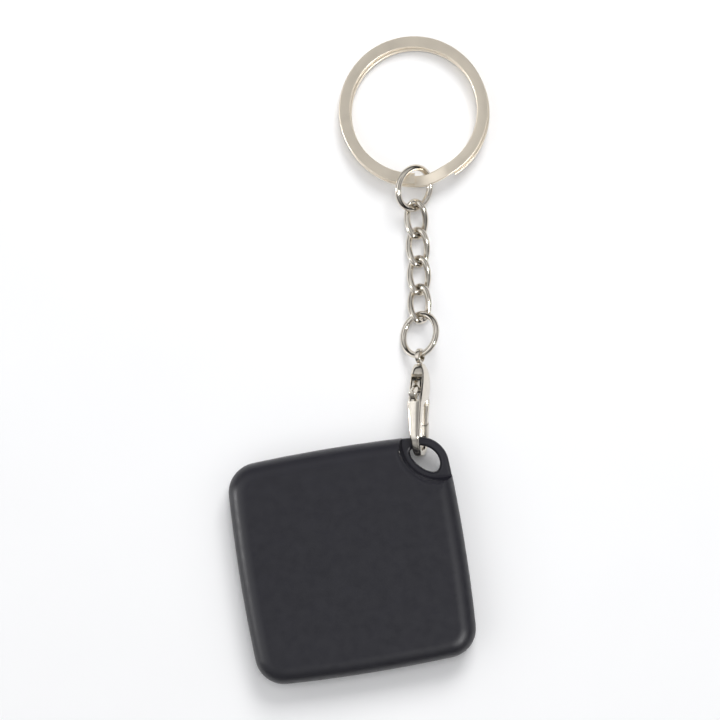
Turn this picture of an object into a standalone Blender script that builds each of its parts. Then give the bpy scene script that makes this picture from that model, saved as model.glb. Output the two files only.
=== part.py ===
"""A tracker tag with its key chain, lying on a table as if just put down.

The tag is a flat rounded square with an eyelet in one corner. A sprung hook clasp
holds the eyelet, and a swivel eye, a jump ring, four curb links, a second jump ring
and a flat split ring follow it. All sizes are in metres, +Z is up, the tag's rear
face lies in the plane z = 0 and its centre is the origin.
"""

import math

import bmesh
import bpy
from mathutils import Matrix, Vector

# ---------------------------------------------------------------- driving sizes
# Tag outline: a square whose sides bow out a little, with round corners.
TAG_SIDE = 0.0375
TAG_THICK = 0.0076
SIDE_BOW_RADIUS = 0.258
CORNER_RADIUS = 0.00485
FRONT_ROUND_IN = 0.0030
FRONT_ROUND_DOWN = 0.0027
REAR_ROUND_IN = 0.0020
REAR_ROUND_UP = 0.0018
PARTING_HEIGHT = 0.0038
PARTING_GAP = 0.0001
SIDE_WALL = 0.0013
FRONT_WALL = 0.0010
REAR_WALL = 0.0010

# Eyelet: a thin lug in the corner, with a hole of two half ellipses.
LUG_THICK = 0.0030
LUG_ROUND = 0.0006
LUG_STEP_IN = 0.00005
EYELET_INSET = 0.0062
EYELET_CENTRE = TAG_SIDE / math.sqrt(2) - EYELET_INSET
EYELET_HALF_LONG = 0.00280
EYELET_OUTER_HALF = 0.0022
EYELET_INNER_HALF = 0.00124
SCOOP_LEAD = 0.0039
SCOOP_CENTRE = EYELET_CENTRE + SCOOP_LEAD
SCOOP_RADIUS = 0.0060
SCOOP_FLARE = 0.0004
SCOOP_ROUND_IN = 0.0013
SCOOP_ROUND_DOWN = 0.0012
SCOOP_WALL = 0.0012
LUG_ROOT_OVERLAP = 0.0006

# Tongue that lines the two covers up.
TONGUE_THICK = 0.0006
TONGUE_RISE = 0.0006
TONGUE_GAP = 0.0001

# Coin cell, its well and the twist door.
CELL_RADIUS = 0.0100
CELL_THICK = 0.0032
CELL_CAP_INSET = 0.0013
CELL_CAP_STEP = 0.0004
CELL_GAP = 0.00025
WELL_WALL = 0.0008
WELL_HEIGHT = 0.0023
WEB_THICK = 0.0006
# The cell goes in through the door, so the door is wider by a little.
DOOR_RADIUS = CELL_RADIUS + 0.0010
DOOR_THICK = 0.0012
DOOR_GAP = 0.0002
DOOR_RECESS = 0.0001
TAB_REACH = 0.0011
TAB_THICK = 0.0004
TAB_ANGLE = math.radians(22)
TAB_COUNT = 3
TAB_CLEARANCE = 0.0001
DOOR_TURN = math.radians(50)
COIN_SLOT_LENGTH = 0.0125
COIN_SLOT_WIDTH = 0.0017
COIN_SLOT_DEPTH = 0.0006
SEAL_SECTION = 0.00045
SEAL_SQUEEZE_GAP = 0.00004

# Circuit board and what it carries. Soldered pieces stand a hair off the board.
BOARD_THICK = 0.0005
BOARD_OVER_CELL = 0.0004
BOARD_EDGE_GAP = 0.0006
SOLDER_GAP = 0.00005
ROOF_GAP = 0.0001
SWITCH_SIZE = 0.0036
SWITCH_THICK = 0.0005
PLUNGER_RADIUS = 0.0008
PLUNGER_RISE = 0.0002
PLUNGER_GAP = 0.00012
PLUNGER_TRAVEL = 0.00012
PLUNGER_SEAT = 0.0002
PRESS_PIP_RADIUS = 0.0011
PRESS_PIP_GAP = 0.00006
SOUNDER_WALL = 0.0005
SOUNDER_WELL_GAP = 0.0004
SOUNDER_SIDE_GAP = 0.0010
CONTACT_THICK = 0.00015
CONTACT_WIDTH = 0.0040
# Where the sprung leaf starts, bends and ends, as shares of the cap's radius.
LEAF_START = 0.14
LEAF_BEND = 0.40
LEAF_END = 0.86
# Name, place and size of each soldered piece, and its material. Place and plan size are
# shares of the board's half side, the height is a share of the room under the roof.
BOARD_PIECES = [
    ("radio_chip", (-0.48, 0.36), (0.30, 0.30, 1.00), "chip_epoxy"),
    ("clock_crystal", (-0.48, 0.63), (0.19, 0.096, 0.75), "crystal_can"),
    ("chip_antenna", (-0.84, 0.0), (0.096, 0.42, 1.00), "capacitor_ceramic"),
    ("motion_sensor", (0.45, -0.36), (0.15, 0.15, 0.94), "chip_epoxy"),
    ("capacitor_1", (-0.21, 0.60), (0.06, 0.12, 0.75), "capacitor_ceramic"),
    ("capacitor_2", (-0.08, 0.60), (0.06, 0.12, 0.75), "capacitor_ceramic"),
    ("capacitor_3", (0.05, 0.60), (0.06, 0.12, 0.75), "capacitor_ceramic"),
]

# Chain line: where the hook holds the rim, and which way the chain leads off.
CHAIN_HEADING = math.radians(-9.2)
HOOK_BEARING = math.radians(94)
RIM_SLACK = 0.00148

# Hook clasp. Its own frame has +Y from the hook to the swivel, +Z to the spine side
# and the middle of the held rim as origin.
CLASP_ROLL = math.radians(-17)
HOOK_THICK = 0.0011
LOOP_HALF = 0.0029
HOOK_TIP = 0.00275
TIP_THICK = 0.0013
TIP_WIDTH = 0.0013
TIP_SLANT = math.radians(29)
TIP_GAP = 0.00015
# Spine sections: y, half width and half thickness.
SPINE = [(0.0066, 0.00126, 0.00086), (0.0050, 0.00116, 0.00090), (0.0030, 0.00102, 0.00082)]
SPINE_FOOT = (0.00084, 0.00070)
BEND = (0.00066, 0.00055)
# Head sections: y, half width, lowest z and highest z.
HEAD = [
    (0.0054, 0.00108, 0.0021, 0.00368),
    (0.0061, 0.00126, 0.0010, 0.00362),
    (0.0066, 0.00134, -0.0007, 0.00350),
    (0.0073, 0.00140, -0.0020, 0.00326),
    (0.0084, 0.00143, -0.0026, 0.00284),
    (0.0098, 0.00141, -0.0025, 0.00236),
    (0.0109, 0.00132, -0.0022, 0.00200),
    (0.0115, 0.00122, -0.0019, 0.00178),
    (0.0121, 0.00104, -0.0014, 0.00146),
    (0.0127, 0.00074, -0.0008, 0.00090),
]
SLOT_WIDTH = 0.0018
WINDOW_LOW = 0.00695
WINDOW_HIGH = 0.01110
SLOT_LOW = 0.0057
SLOT_ROOF = 0.0014
PIVOT = (0.00875, 0.0002)
HUB_RADIUS = 0.00098
HUB_WIDTH = 0.00136
PIN_RADIUS = 0.00045
PIN_GAP = 0.00006
PIN_COVER = 0.0004
KNOB_PLACE = 0.00775
KNOB_RADIUS = 0.0006
KNOB_TOP = 0.0049
KNOB_LONG = 0.0036
KNOB_LEAN = math.radians(22)
# Gate sections: y, z, direction of the arm below the chain line, half width, half depth.
GATE = [
    (0.0088, -0.0002, 70.0, 0.00068, 0.00072),
    (0.0082, -0.0013, 55.0, 0.00068, 0.00072),
    (0.0076, -0.0020, 40.0, 0.00068, 0.00070),
    (0.0071, -0.0024, 26.0, 0.00070, 0.00070),
    (0.0067, -0.00260, 15.0, 0.00086, 0.00070),
    (0.0060, -0.00276, 6.0, 0.00084, 0.00070),
    (0.0050, -0.00284, 0.0, 0.00074, 0.00068),
    (0.0040, -0.00284, 0.0, 0.00064, 0.00066),
    (0.0020, -0.00284, 0.0, 0.00056, 0.00066),
]
CREST_RADIUS = 0.0023
CREST_START = math.radians(47)
CREST_END = math.radians(100)
CREST_WIDTH = 0.0013
CREST_DIMPLE = 0.00034
CREST_DIMPLE_DEPTH = 0.0007
CREST_DIMPLE_AT = math.radians(64)
TAIL_END = 0.01055
TAIL_LOW = -0.00035
TAIL_TIP_THICK = 0.0005
TAIL_ROOT_HIGH = 0.0008
TAIL_WIDTH = 0.0012
SPRING_PLACE = 0.0101
SPRING_RADIUS = 0.0004
SPRING_WIRE = 0.00018
SPRING_TURNS = 3
SPRING_GAP = 0.00005
SLOT_FLOOR = -0.0018
FLOOR_START = 0.0092
POST_RADIUS = 0.00046
POST_GAP = 0.0001
POST_HEAD_RADIUS = 0.00076
POST_HEAD_THICK = 0.00035
POST_SEAT = 0.0115
POST_SHOULDER_GAP = 0.0001
EYE_CENTRE = 0.01405
EYE_RADIUS = 0.00125
EYE_HOLE_RADIUS = 0.00094
EYE_THICK = 0.00085
EYE_ROLL = math.radians(-26)

# Chain.
LINK_WIRE = 0.00105
LINK_LENGTH = 0.0069
LINK_WIDTH = 0.00405
LINK_END_RADIUS = 0.00135
LINK_TWIST = math.radians(45)
LINK_PITCH = [math.radians(angle) for angle in (-7.0, 0.0, 0.0, 7.5)]
LINK_DRIFT = [math.radians(angle) for angle in (0.3, 1.6, 3.1, 4.0)]
JUMP_WIRE = 0.00105
JUMP_OUTER = 0.0080
JUMP_CUT = math.radians(3.5)
LOWER_JUMP_ROLL = math.radians(-40)
UPPER_JUMP_ROLL = math.radians(39)
UPPER_JUMP_PITCH = math.radians(17)
UPPER_JUMP_DRIFT = math.radians(2.5)
UPPER_JUMP_SHIFT = -0.00010
LOWER_JUMP_CUT_AT = math.radians(135)
UPPER_JUMP_CUT_AT = math.radians(-33)
CHAIN_GAP = 0.0001
JUMP_SLACK = 0.00010
EYE_SLACK = 0.00019
FLOOR_GAP = 0.00005

# Split ring: flat wire wound in two turns, one on the other.
RING_OUTER = 0.0247
RING_WIRE_WIDTH = 0.00185
RING_WIRE_THICK = 0.0009
RING_TURN_GAP = 0.0001
RING_EDGE = 0.0002
RING_CROSS_START = math.radians(-87)
RING_CROSS_ANGLE = math.radians(28)
RING_END_GAP = math.radians(2.0)
RING_TURN_OFFSET = 0.00042
RING_OFFSET_TOWARDS = math.radians(-55)
RING_TILT = math.radians(5.0)
RING_TILT_TOWARDS = math.radians(-62)
RING_LEAD = 0.00138
RING_SIDE_SHIFT = -0.00003

# Fineness of round shapes.
SIDE_STEPS = 5
CORNER_STEPS = 9
ROUND_STEPS = 4
SCOOP_STEPS = 2
WIRE_RESOLUTION = 2
LINK_POINTS = 32
JUMP_POINTS = 44
RING_STEP = math.radians(9)
CUT_OVERRUN = 0.001
SECTION_POWER = 0.62

FLAT = (0.0, 0.0)
RIM_HEIGHT = TAG_THICK / 2

PALETTE = {
    "cover_plastic": ((0.034, 0.034, 0.043), 0.55, 0.0),
    "door_plastic": ((0.030, 0.030, 0.036), 0.60, 0.0),
    "seal_rubber": ((0.020, 0.020, 0.020), 0.80, 0.0),
    "plated_metal": ((0.72, 0.69, 0.63), 0.22, 1.0),
    "ring_steel": ((0.66, 0.62, 0.55), 0.38, 1.0),
    "spring_steel": ((0.55, 0.54, 0.52), 0.35, 1.0),
    "cell_steel": ((0.62, 0.62, 0.60), 0.30, 1.0),
    "board_laminate": ((0.012, 0.075, 0.030), 0.50, 0.0),
    "chip_epoxy": ((0.015, 0.015, 0.016), 0.55, 0.0),
    "crystal_can": ((0.60, 0.60, 0.58), 0.30, 1.0),
    "capacitor_ceramic": ((0.32, 0.21, 0.12), 0.60, 0.0),
    "sounder_brass": ((0.72, 0.53, 0.22), 0.35, 1.0),
    "contact_spring": ((0.70, 0.62, 0.42), 0.30, 1.0),
}


# ---------------------------------------------------------------- scene helpers
def clear_scene():
    for obj in list(bpy.data.objects):
        bpy.data.objects.remove(obj, do_unlink=True)


def make_collection(name):
    collection = bpy.data.collections.new(name)
    bpy.context.scene.collection.children.link(collection)
    return collection


def make_materials():
    for name, (colour, roughness, metallic) in PALETTE.items():
        material = bpy.data.materials.new(name)
        material.use_nodes = True
        shader = material.node_tree.nodes["Principled BSDF"]
        shader.inputs["Base Color"].default_value = (*colour, 1.0)
        shader.inputs["Roughness"].default_value = roughness
        shader.inputs["Metallic"].default_value = metallic


def add(name, mesh, material=None, parent=None):
    """A shown piece, or a cutter where no material is given."""
    obj = bpy.data.objects.new(name, mesh)
    obj.parent = parent
    if material:
        PARTS.objects.link(obj)
        mesh.materials.append(bpy.data.materials[material])
        mesh.shade_smooth()
        mesh.set_sharp_from_angle(angle=math.radians(35))
    else:
        CUTTERS.objects.link(obj)
        obj.hide_render = True
        obj.display_type = "WIRE"
    return obj


def empty(name, matrix):
    obj = bpy.data.objects.new(name, None)
    obj.empty_display_size = 0.002
    obj.matrix_world = matrix
    PARTS.objects.link(obj)
    return obj


def combine(obj, tool, operation):
    modifier = obj.modifiers.new(f"{operation.lower()}_{tool.name}", "BOOLEAN")
    modifier.operation = operation
    modifier.object = tool


def cut(obj, tool):
    combine(obj, tool, "DIFFERENCE")


def join(obj, tool):
    combine(obj, tool, "UNION")


def keep(obj, tool):
    combine(obj, tool, "INTERSECT")


def mesh_of(name, bm):
    bmesh.ops.recalc_face_normals(bm, faces=bm.faces[:])
    mesh = bpy.data.meshes.new(name)
    bm.to_mesh(mesh)
    bm.free()
    return mesh


# ---------------------------------------------------------------- shape helpers
def loft(name, rings, material=None, parent=None, looped=False):
    """A closed body through rings of equally many points, with flat ends unless looped."""
    bm = bmesh.new()
    rows = [[bm.verts.new(point) for point in ring] for ring in rings]
    count = len(rows[0])
    if looped:
        rows.append(rows[0])
    for low, high in zip(rows, rows[1:]):
        for i in range(count):
            j = (i + 1) % count
            bm.faces.new((low[i], low[j], high[j], high[i]))
    if not looped:
        bm.faces.new(rows[0][::-1])
        bm.faces.new(rows[-1])
    return add(name, mesh_of(name, bm), material, parent)


def box(name, low, high, material=None, parent=None, edge_round=0.0):
    bm = bmesh.new()
    bmesh.ops.create_cube(bm, size=1.0)
    low, high = Vector(low), Vector(high)
    bmesh.ops.scale(bm, vec=high - low, verts=bm.verts)
    bmesh.ops.translate(bm, vec=(high + low) / 2, verts=bm.verts)
    obj = add(name, mesh_of(name, bm), material, parent)
    if edge_round:
        bevel = obj.modifiers.new("edge_round", "BEVEL")
        bevel.width = edge_round
        bevel.segments = 2
    return obj


def cylinder(name, radius, low, high, steps, material=None, parent=None,
             centre=FLAT, axis="Z", top_radius=None):
    """A round bar from low to high along an axis. centre holds its other two coordinates."""
    bm = bmesh.new()
    bmesh.ops.create_cone(
        bm, cap_ends=True, segments=steps, radius1=radius,
        radius2=radius if top_radius is None else top_radius, depth=high - low,
    )
    middle = (high + low) / 2
    if axis == "Z":
        turn = Matrix.Identity(4)
        place = Vector((centre[0], centre[1], middle))
    elif axis == "Y":
        turn = Matrix.Rotation(math.radians(-90), 4, "X")
        place = Vector((centre[0], middle, centre[1]))
    else:
        turn = Matrix.Rotation(math.radians(90), 4, "Y")
        place = Vector((middle, centre[0], centre[1]))
    bmesh.ops.transform(bm, matrix=Matrix.Translation(place) @ turn, verts=bm.verts)
    return add(name, mesh_of(name, bm), material, parent)


def turned(name, profile, steps, material=None, parent=None, looped=False):
    """A disc turned about Z from (radius, height) pairs, or a tube where looped."""
    rings = []
    for radius, height in profile:
        rings.append([(x, y, height) for x, y in arc(FLAT, radius, 0.0, math.tau, steps)[:-1]])
    return loft(name, rings, material, parent, looped)


def plate(name, outline, thick, material=None, parent=None, edge_round=0.0):
    """A flat outline of (y, z) points, thick along X and centred on x = 0."""
    bm = bmesh.new()
    bmesh.ops.create_circle(bm, cap_ends=True, segments=len(outline), radius=1.0)
    bm.verts.ensure_lookup_table()
    for vertex, (y, z) in zip(bm.verts, outline):
        vertex.co = (-thick / 2, y, z)
    made = bmesh.ops.extrude_face_region(bm, geom=bm.faces[:])
    moved = [item for item in made["geom"] if isinstance(item, bmesh.types.BMVert)]
    bmesh.ops.translate(bm, vec=(thick, 0, 0), verts=moved)
    obj = add(name, mesh_of(name, bm), material, parent)
    if edge_round:
        bevel = obj.modifiers.new("edge_round", "BEVEL")
        bevel.width = edge_round
        bevel.segments = 2
        bevel.limit_method = "ANGLE"
        bevel.angle_limit = math.radians(50)
    return obj


def wire(name, points, thick, closed, material=None, parent=None, radii=None,
         resolution=WIRE_RESOLUTION):
    """Round wire along points, made a mesh so that it can be cut or joined."""
    curve = bpy.data.curves.new(name, "CURVE")
    curve.dimensions = "3D"
    curve.bevel_depth = thick / 2
    curve.bevel_resolution = resolution
    curve.use_fill_caps = not closed
    spline = curve.splines.new("POLY")
    spline.points.add(len(points) - 1)
    spline.use_cyclic_u = closed
    for i, point in enumerate(points):
        spline.points[i].co = (*point, 1.0)
        spline.points[i].radius = radii[i] if radii else 1.0
    guide = bpy.data.objects.new(name + "_guide", curve)
    CUTTERS.objects.link(guide)
    graph = bpy.context.evaluated_depsgraph_get()
    mesh = bpy.data.meshes.new_from_object(guide.evaluated_get(graph))
    bpy.data.objects.remove(guide)
    bm = bmesh.new()
    bm.from_mesh(mesh)
    bmesh.ops.remove_doubles(bm, verts=bm.verts, dist=1e-7)
    mesh.materials.clear()
    return add(name, mesh_of(name, bm), material, parent)


def arc(centre, radius, start, end, steps):
    """Points (a, b) on an arc, both ends included."""
    return [
        (centre[0] + radius * math.cos(angle), centre[1] + radius * math.sin(angle))
        for angle in (start + (end - start) * i / steps for i in range(steps + 1))
    ]


# ---------------------------------------------------------------- tag outline
def corner_place():
    """(corner arc centre, half angle of the bowed side), the same for every inset."""
    reach = SIDE_BOW_RADIUS - TAG_SIDE / 2
    span = SIDE_BOW_RADIUS - CORNER_RADIUS
    centre = (-reach + math.sqrt(2 * span**2 - reach**2)) / 2
    return centre, math.atan2(centre, centre + reach)


def tag_outline(inset, height):
    """One ring of the tag's outline, inset from its edge, at a height."""
    corner, half = corner_place()
    bow = SIDE_BOW_RADIUS - inset
    points = []
    for quarter in range(4):
        turn = Matrix.Rotation(quarter * math.pi / 2, 2)
        side_centre = (TAG_SIDE / 2 - SIDE_BOW_RADIUS, 0.0)
        side = arc(side_centre, bow, -half, half, SIDE_STEPS)
        bend = arc((corner, corner), CORNER_RADIUS - inset, half, math.pi / 2 - half, CORNER_STEPS)
        points += [turn @ Vector(point) for point in side[:-1] + bend[:-1]]
    return [(point.x, point.y, height) for point in points]


def eyelet_outline(grow, height):
    """One ring of the eyelet hole, grown outwards by an amount, at a height."""
    along = Vector((1, 1)).normalized()
    across = Vector((1, -1)).normalized()
    steps = 28
    points = []
    for i in range(steps):
        angle = math.tau * i / steps
        half = EYELET_OUTER_HALF if math.cos(angle) > 0 else EYELET_INNER_HALF
        reach = along * (EYELET_CENTRE + (half + grow) * math.cos(angle))
        points.append(reach + across * (EYELET_HALF_LONG + grow) * math.sin(angle))
    return [(point.x, point.y, height) for point in points]


def rounding(depth_in, depth_along, steps=ROUND_STEPS):
    """(inset, distance from the face) pairs down a quarter-ellipse edge round."""
    angles = [math.pi / 2 * i / steps for i in range(steps + 1)]
    return [(depth_in * (1 - math.sin(a)), depth_along * (1 - math.cos(a))) for a in angles]


def rim_point():
    """The middle of the eyelet's rim where the hook holds it, on the tag's plane."""
    start = Vector((EYELET_CENTRE, EYELET_CENTRE)) / math.sqrt(2)
    bearing = Vector((math.cos(HOOK_BEARING), math.sin(HOOK_BEARING)))
    step = 0.00002
    hole = [Vector(p[:2]) for p in eyelet_outline(0.0, 0.0)]
    edge = [Vector(p[:2]) for p in tag_outline(0.0, 0.0)]
    crossings = []
    for ring in (hole, edge):
        reach = 0.0
        while inside(start + bearing * reach, ring):
            reach += step
        crossings.append(reach)
    return start + bearing * sum(crossings) / 2


def inside(point, ring):
    """True while a point is in a convex ring that runs either way round."""
    turns = [
        (b - a).cross(point - a) > 0 for a, b in zip(ring, ring[1:] + ring[:1])
    ]
    return all(turns) or not any(turns)


# ---------------------------------------------------------------- covers
def scoop(name, grow=0.0):
    """The round scoop that thins the corner to a lug, with a mouth rounded at both faces."""
    lug_low = (TAG_THICK - LUG_THICK) / 2
    mouth = [
        (SCOOP_FLARE + inset, depth)
        for inset, depth in rounding(SCOOP_ROUND_IN, SCOOP_ROUND_DOWN, SCOOP_STEPS)
    ]
    mouth.insert(0, (SCOOP_FLARE + SCOOP_ROUND_IN, -CUT_OVERRUN))
    mouth.append((0.0, lug_low))
    levels = mouth + [(flare, TAG_THICK - depth) for flare, depth in mouth[::-1]]
    centre = SCOOP_CENTRE / math.sqrt(2)
    rings = []
    for flare, height in levels:
        around = arc((centre, centre), SCOOP_RADIUS + grow + flare, 0.0, math.tau, 48)[:-1]
        rings.append([(x, y, height) for x, y in around])
    return loft(name, rings)


def eyelet_hole(name):
    """Cuts the eyelet, with its mouth rounded on both faces of the lug."""
    lug_low = (TAG_THICK - LUG_THICK) / 2
    rounded = rounding(LUG_ROUND, LUG_ROUND, 3)
    low = [(grow, lug_low + depth) for grow, depth in rounded]
    high = [(grow, TAG_THICK - lug_low - depth) for grow, depth in rounded[::-1]]
    levels = [(LUG_ROUND, -CUT_OVERRUN)] + low + high + [(LUG_ROUND, TAG_THICK + CUT_OVERRUN)]
    return loft(name, [eyelet_outline(grow, height) for grow, height in levels])


def whole_tag(name, material):
    """The tag's outer form in one piece: the rounded body, scooped, with its lug."""
    rear = [(inset, depth) for inset, depth in rounding(REAR_ROUND_IN, REAR_ROUND_UP)]
    front = [
        (inset, TAG_THICK - depth)
        for inset, depth in rounding(FRONT_ROUND_IN, FRONT_ROUND_DOWN)[::-1]
    ]
    body = loft(name, [tag_outline(*level) for level in rear + front], material)
    cut(body, scoop(name + "_scoop"))
    lug_low = (TAG_THICK - LUG_THICK) / 2
    rounded = rounding(LUG_ROUND, LUG_ROUND, 3)
    low = [(LUG_STEP_IN + inset, lug_low + depth) for inset, depth in rounded]
    high = [(LUG_STEP_IN + inset, TAG_THICK - lug_low - depth) for inset, depth in rounded[::-1]]
    lug = loft(name + "_lug", [tag_outline(*level) for level in low + high])
    centre = SCOOP_CENTRE / math.sqrt(2)
    root = cylinder(
        name + "_lug_root", SCOOP_RADIUS + LUG_ROOT_OVERLAP, -CUT_OVERRUN,
        TAG_THICK + CUT_OVERRUN, 40, centre=(centre, centre),
    )
    keep(lug, root)
    join(body, lug)
    cut(body, eyelet_hole(name + "_eyelet"))
    return body


def cavity(name, low, high, low_round, high_round):
    """The hollow inside the covers, clear of the scooped corner."""
    start = [(SIDE_WALL + inset, low + depth) for inset, depth in rounding(*low_round, 3)]
    end = [(SIDE_WALL + inset, high - depth) for inset, depth in rounding(*high_round, 3)[::-1]]
    hollow = loft(name, [tag_outline(*level) for level in start + end])
    cut(hollow, scoop(name + "_corner", SCOOP_WALL))
    return hollow


def half_space(name, low, high):
    reach = TAG_SIDE
    return box(name, (-reach, -reach, low), (reach, reach, high))


def front_cover():
    """The front shell with its switch pip inside."""
    cover = whole_tag("front_cover", "cover_plastic")
    low = PARTING_HEIGHT + PARTING_GAP / 2
    keep(cover, half_space("front_half", low, TAG_THICK + CUT_OVERRUN))
    inner_round = (FRONT_ROUND_IN - FRONT_WALL, FRONT_ROUND_DOWN - FRONT_WALL)
    hollow = cavity(
        "front_hollow", low - CUT_OVERRUN, TAG_THICK - FRONT_WALL, (0.0, 0.0001), inner_round,
    )
    cut(cover, hollow)
    pip_low = plunger_top() + PRESS_PIP_GAP
    pip = cylinder("press_pip", PRESS_PIP_RADIUS, pip_low, TAG_THICK - FRONT_WALL / 2, 20)
    join(cover, pip)
    return cover


def tongue_inset():
    """How far the tongue's inner face lies inside the tag's edge."""
    return SIDE_WALL + TONGUE_GAP + TONGUE_THICK


def tongue(name):
    """The rear cover's raised lip, which locates the front cover."""
    outer = SIDE_WALL + TONGUE_GAP
    top = PARTING_HEIGHT + TONGUE_RISE
    foot = REAR_WALL + REAR_ROUND_UP
    step = PARTING_HEIGHT - PARTING_GAP
    root = SIDE_WALL / 2
    lip = loft(
        name,
        [tag_outline(root, foot), tag_outline(root, step), tag_outline(outer, step),
         tag_outline(outer, top)],
    )
    bore = loft(
        name + "_bore",
        [tag_outline(tongue_inset(), REAR_WALL - CUT_OVERRUN),
         tag_outline(tongue_inset(), top + CUT_OVERRUN)],
    )
    cut(lip, bore)
    cut(lip, scoop(name + "_corner", SCOOP_WALL + TONGUE_GAP))
    return lip


def well_web_low():
    """The web lies just over the door's tabs."""
    return tab_low() + TAB_THICK + 2 * TAB_CLEARANCE


def well_profile():
    """Section of the cell's well: a skirt round the tabs, a web and the well wall."""
    inner = CELL_RADIUS + CELL_GAP
    tab_edge = DOOR_RADIUS + TAB_REACH + 3 * TAB_CLEARANCE
    web_low = well_web_low()
    top = web_low + WELL_HEIGHT
    return [
        (tab_edge + WELL_WALL, REAR_WALL / 2), (tab_edge, REAR_WALL / 2),
        (tab_edge, web_low), (inner, web_low), (inner, top), (inner + WELL_WALL, top),
        (inner + WELL_WALL, web_low + WEB_THICK), (tab_edge + WELL_WALL, web_low + WEB_THICK),
    ]


def rear_cover():
    """The rear shell with the well for the cell and the door's opening."""
    cover = whole_tag("rear_cover", "cover_plastic")
    high = PARTING_HEIGHT - PARTING_GAP / 2
    keep(cover, half_space("rear_half", -CUT_OVERRUN, high))
    inner_round = (REAR_ROUND_IN - REAR_WALL, REAR_ROUND_UP - REAR_WALL)
    hollow = cavity("rear_hollow", REAR_WALL, high + CUT_OVERRUN, inner_round, (0.0, 0.0001))
    cut(cover, hollow)
    lip_root = tongue("rear_tongue")
    join(cover, lip_root)
    join(cover, turned("cell_well", well_profile(), 56, looped=True))
    opening = DOOR_RADIUS + DOOR_GAP
    door_hole = cylinder("door_hole", opening, -CUT_OVERRUN, REAR_WALL + CUT_OVERRUN / 4, 56)
    cut(cover, door_hole)
    for i in range(TAB_COUNT):
        bearing = math.tau * i / TAB_COUNT + DOOR_TURN
        notch = sector(
            f"tab_notch_{i + 1}", opening - CUT_OVERRUN, DOOR_RADIUS + TAB_REACH + TAB_CLEARANCE,
            bearing, TAB_ANGLE + 4 * TAB_CLEARANCE / DOOR_RADIUS,
            -CUT_OVERRUN, REAR_WALL + CUT_OVERRUN / 4,
        )
        cut(cover, notch)
    contact_low = well_web_low() + WEB_THICK
    gate = CELL_RADIUS + CELL_GAP + WELL_WALL
    cut(cover, box(
        "contact_gate", (-gate - CUT_OVERRUN, -CONTACT_WIDTH / 2 - CELL_GAP, contact_low),
        (-CELL_RADIUS / 2, CONTACT_WIDTH / 2 + CELL_GAP, PARTING_HEIGHT + CUT_OVERRUN),
    ))
    return cover


def sector(name, inner, outer, bearing, spread, low, high, material=None, parent=None):
    """A block between two radii, spread evenly to both sides of a bearing."""
    steps = 4
    outside = arc(FLAT, outer, bearing - spread / 2, bearing + spread / 2, steps)
    within = arc(FLAT, inner, bearing + spread / 2, bearing - spread / 2, steps)
    ring = outside + within
    return loft(
        name, [[(x, y, height) for x, y in ring] for height in (low, high)], material, parent,
    )


# ---------------------------------------------------------------- door and cell
def tab_low():
    """The tabs turn just above the rear wall."""
    return REAR_WALL + TAB_CLEARANCE


def door_top():
    return DOOR_RECESS + DOOR_THICK


def battery_door():
    """A disc with a coin slot, three bayonet tabs and a groove for its seal."""
    hinge = empty("door_axis", Matrix.Identity(4))
    groove_low = (DOOR_RECESS + tab_low() - SEAL_SECTION) / 2
    groove_high = groove_low + SEAL_SECTION + 2 * SEAL_SQUEEZE_GAP
    groove = DOOR_RADIUS + DOOR_GAP - 2 * SEAL_SQUEEZE_GAP - SEAL_SECTION
    door = turned(
        "battery_door",
        [(DOOR_RADIUS, DOOR_RECESS), (DOOR_RADIUS, groove_low), (groove, groove_low),
         (groove, groove_high), (DOOR_RADIUS, groove_high), (DOOR_RADIUS, door_top())],
        56, "door_plastic", hinge,
    )
    for i in range(TAB_COUNT):
        join(door, sector(
            f"door_tab_{i + 1}", DOOR_RADIUS - TAB_REACH, DOOR_RADIUS + TAB_REACH,
            math.tau * i / TAB_COUNT, TAB_ANGLE, tab_low(), tab_low() + TAB_THICK, parent=hinge,
        ))
    cut(door, box(
        "coin_slot", (-COIN_SLOT_LENGTH / 2, -COIN_SLOT_WIDTH / 2, -CUT_OVERRUN),
        (COIN_SLOT_LENGTH / 2, COIN_SLOT_WIDTH / 2, DOOR_RECESS + COIN_SLOT_DEPTH), parent=hinge,
    ))
    middle = (groove_low + groove_high) / 2
    ring = [
        (x, y, middle) for x, y in arc(
            FLAT, DOOR_RADIUS + DOOR_GAP - SEAL_SQUEEZE_GAP - SEAL_SECTION / 2, 0, math.tau, 40
        )[:-1]
    ]
    wire("door_seal", ring, SEAL_SECTION, True, "seal_rubber", hinge, resolution=1)


def cell_low():
    return tab_low() + TAB_THICK + SOLDER_GAP


def cell_top():
    return cell_low() + CELL_THICK


def coin_cell():
    """The coin cell: its wide can faces the door, its stepped cap faces the board."""
    low = cell_low()
    top = cell_top()
    cap = CELL_RADIUS - CELL_CAP_INSET
    turned(
        "coin_cell",
        [(CELL_RADIUS, low), (CELL_RADIUS, top - CELL_CAP_STEP),
         (cap, top - CELL_CAP_STEP), (cap, top)],
        56, "cell_steel",
    )


# ---------------------------------------------------------------- electronics
def board_low():
    return cell_top() + BOARD_OVER_CELL


def board_top():
    return board_low() + BOARD_THICK


def board_inset():
    """How far the board's edge lies inside the tag's, clear of the tongue."""
    return tongue_inset() + BOARD_EDGE_GAP


def plunger_top():
    return board_top() + SOLDER_GAP + SWITCH_THICK + PLUNGER_RISE


def circuit_board():
    """The board fills the cavity, clear of the tongue, and stops short of the eyelet."""
    board = loft(
        "circuit_board",
        [tag_outline(board_inset(), board_low()), tag_outline(board_inset(), board_top())],
        "board_laminate",
    )
    cut(board, scoop("board_corner", SCOOP_WALL + TONGUE_THICK + BOARD_EDGE_GAP))


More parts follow.
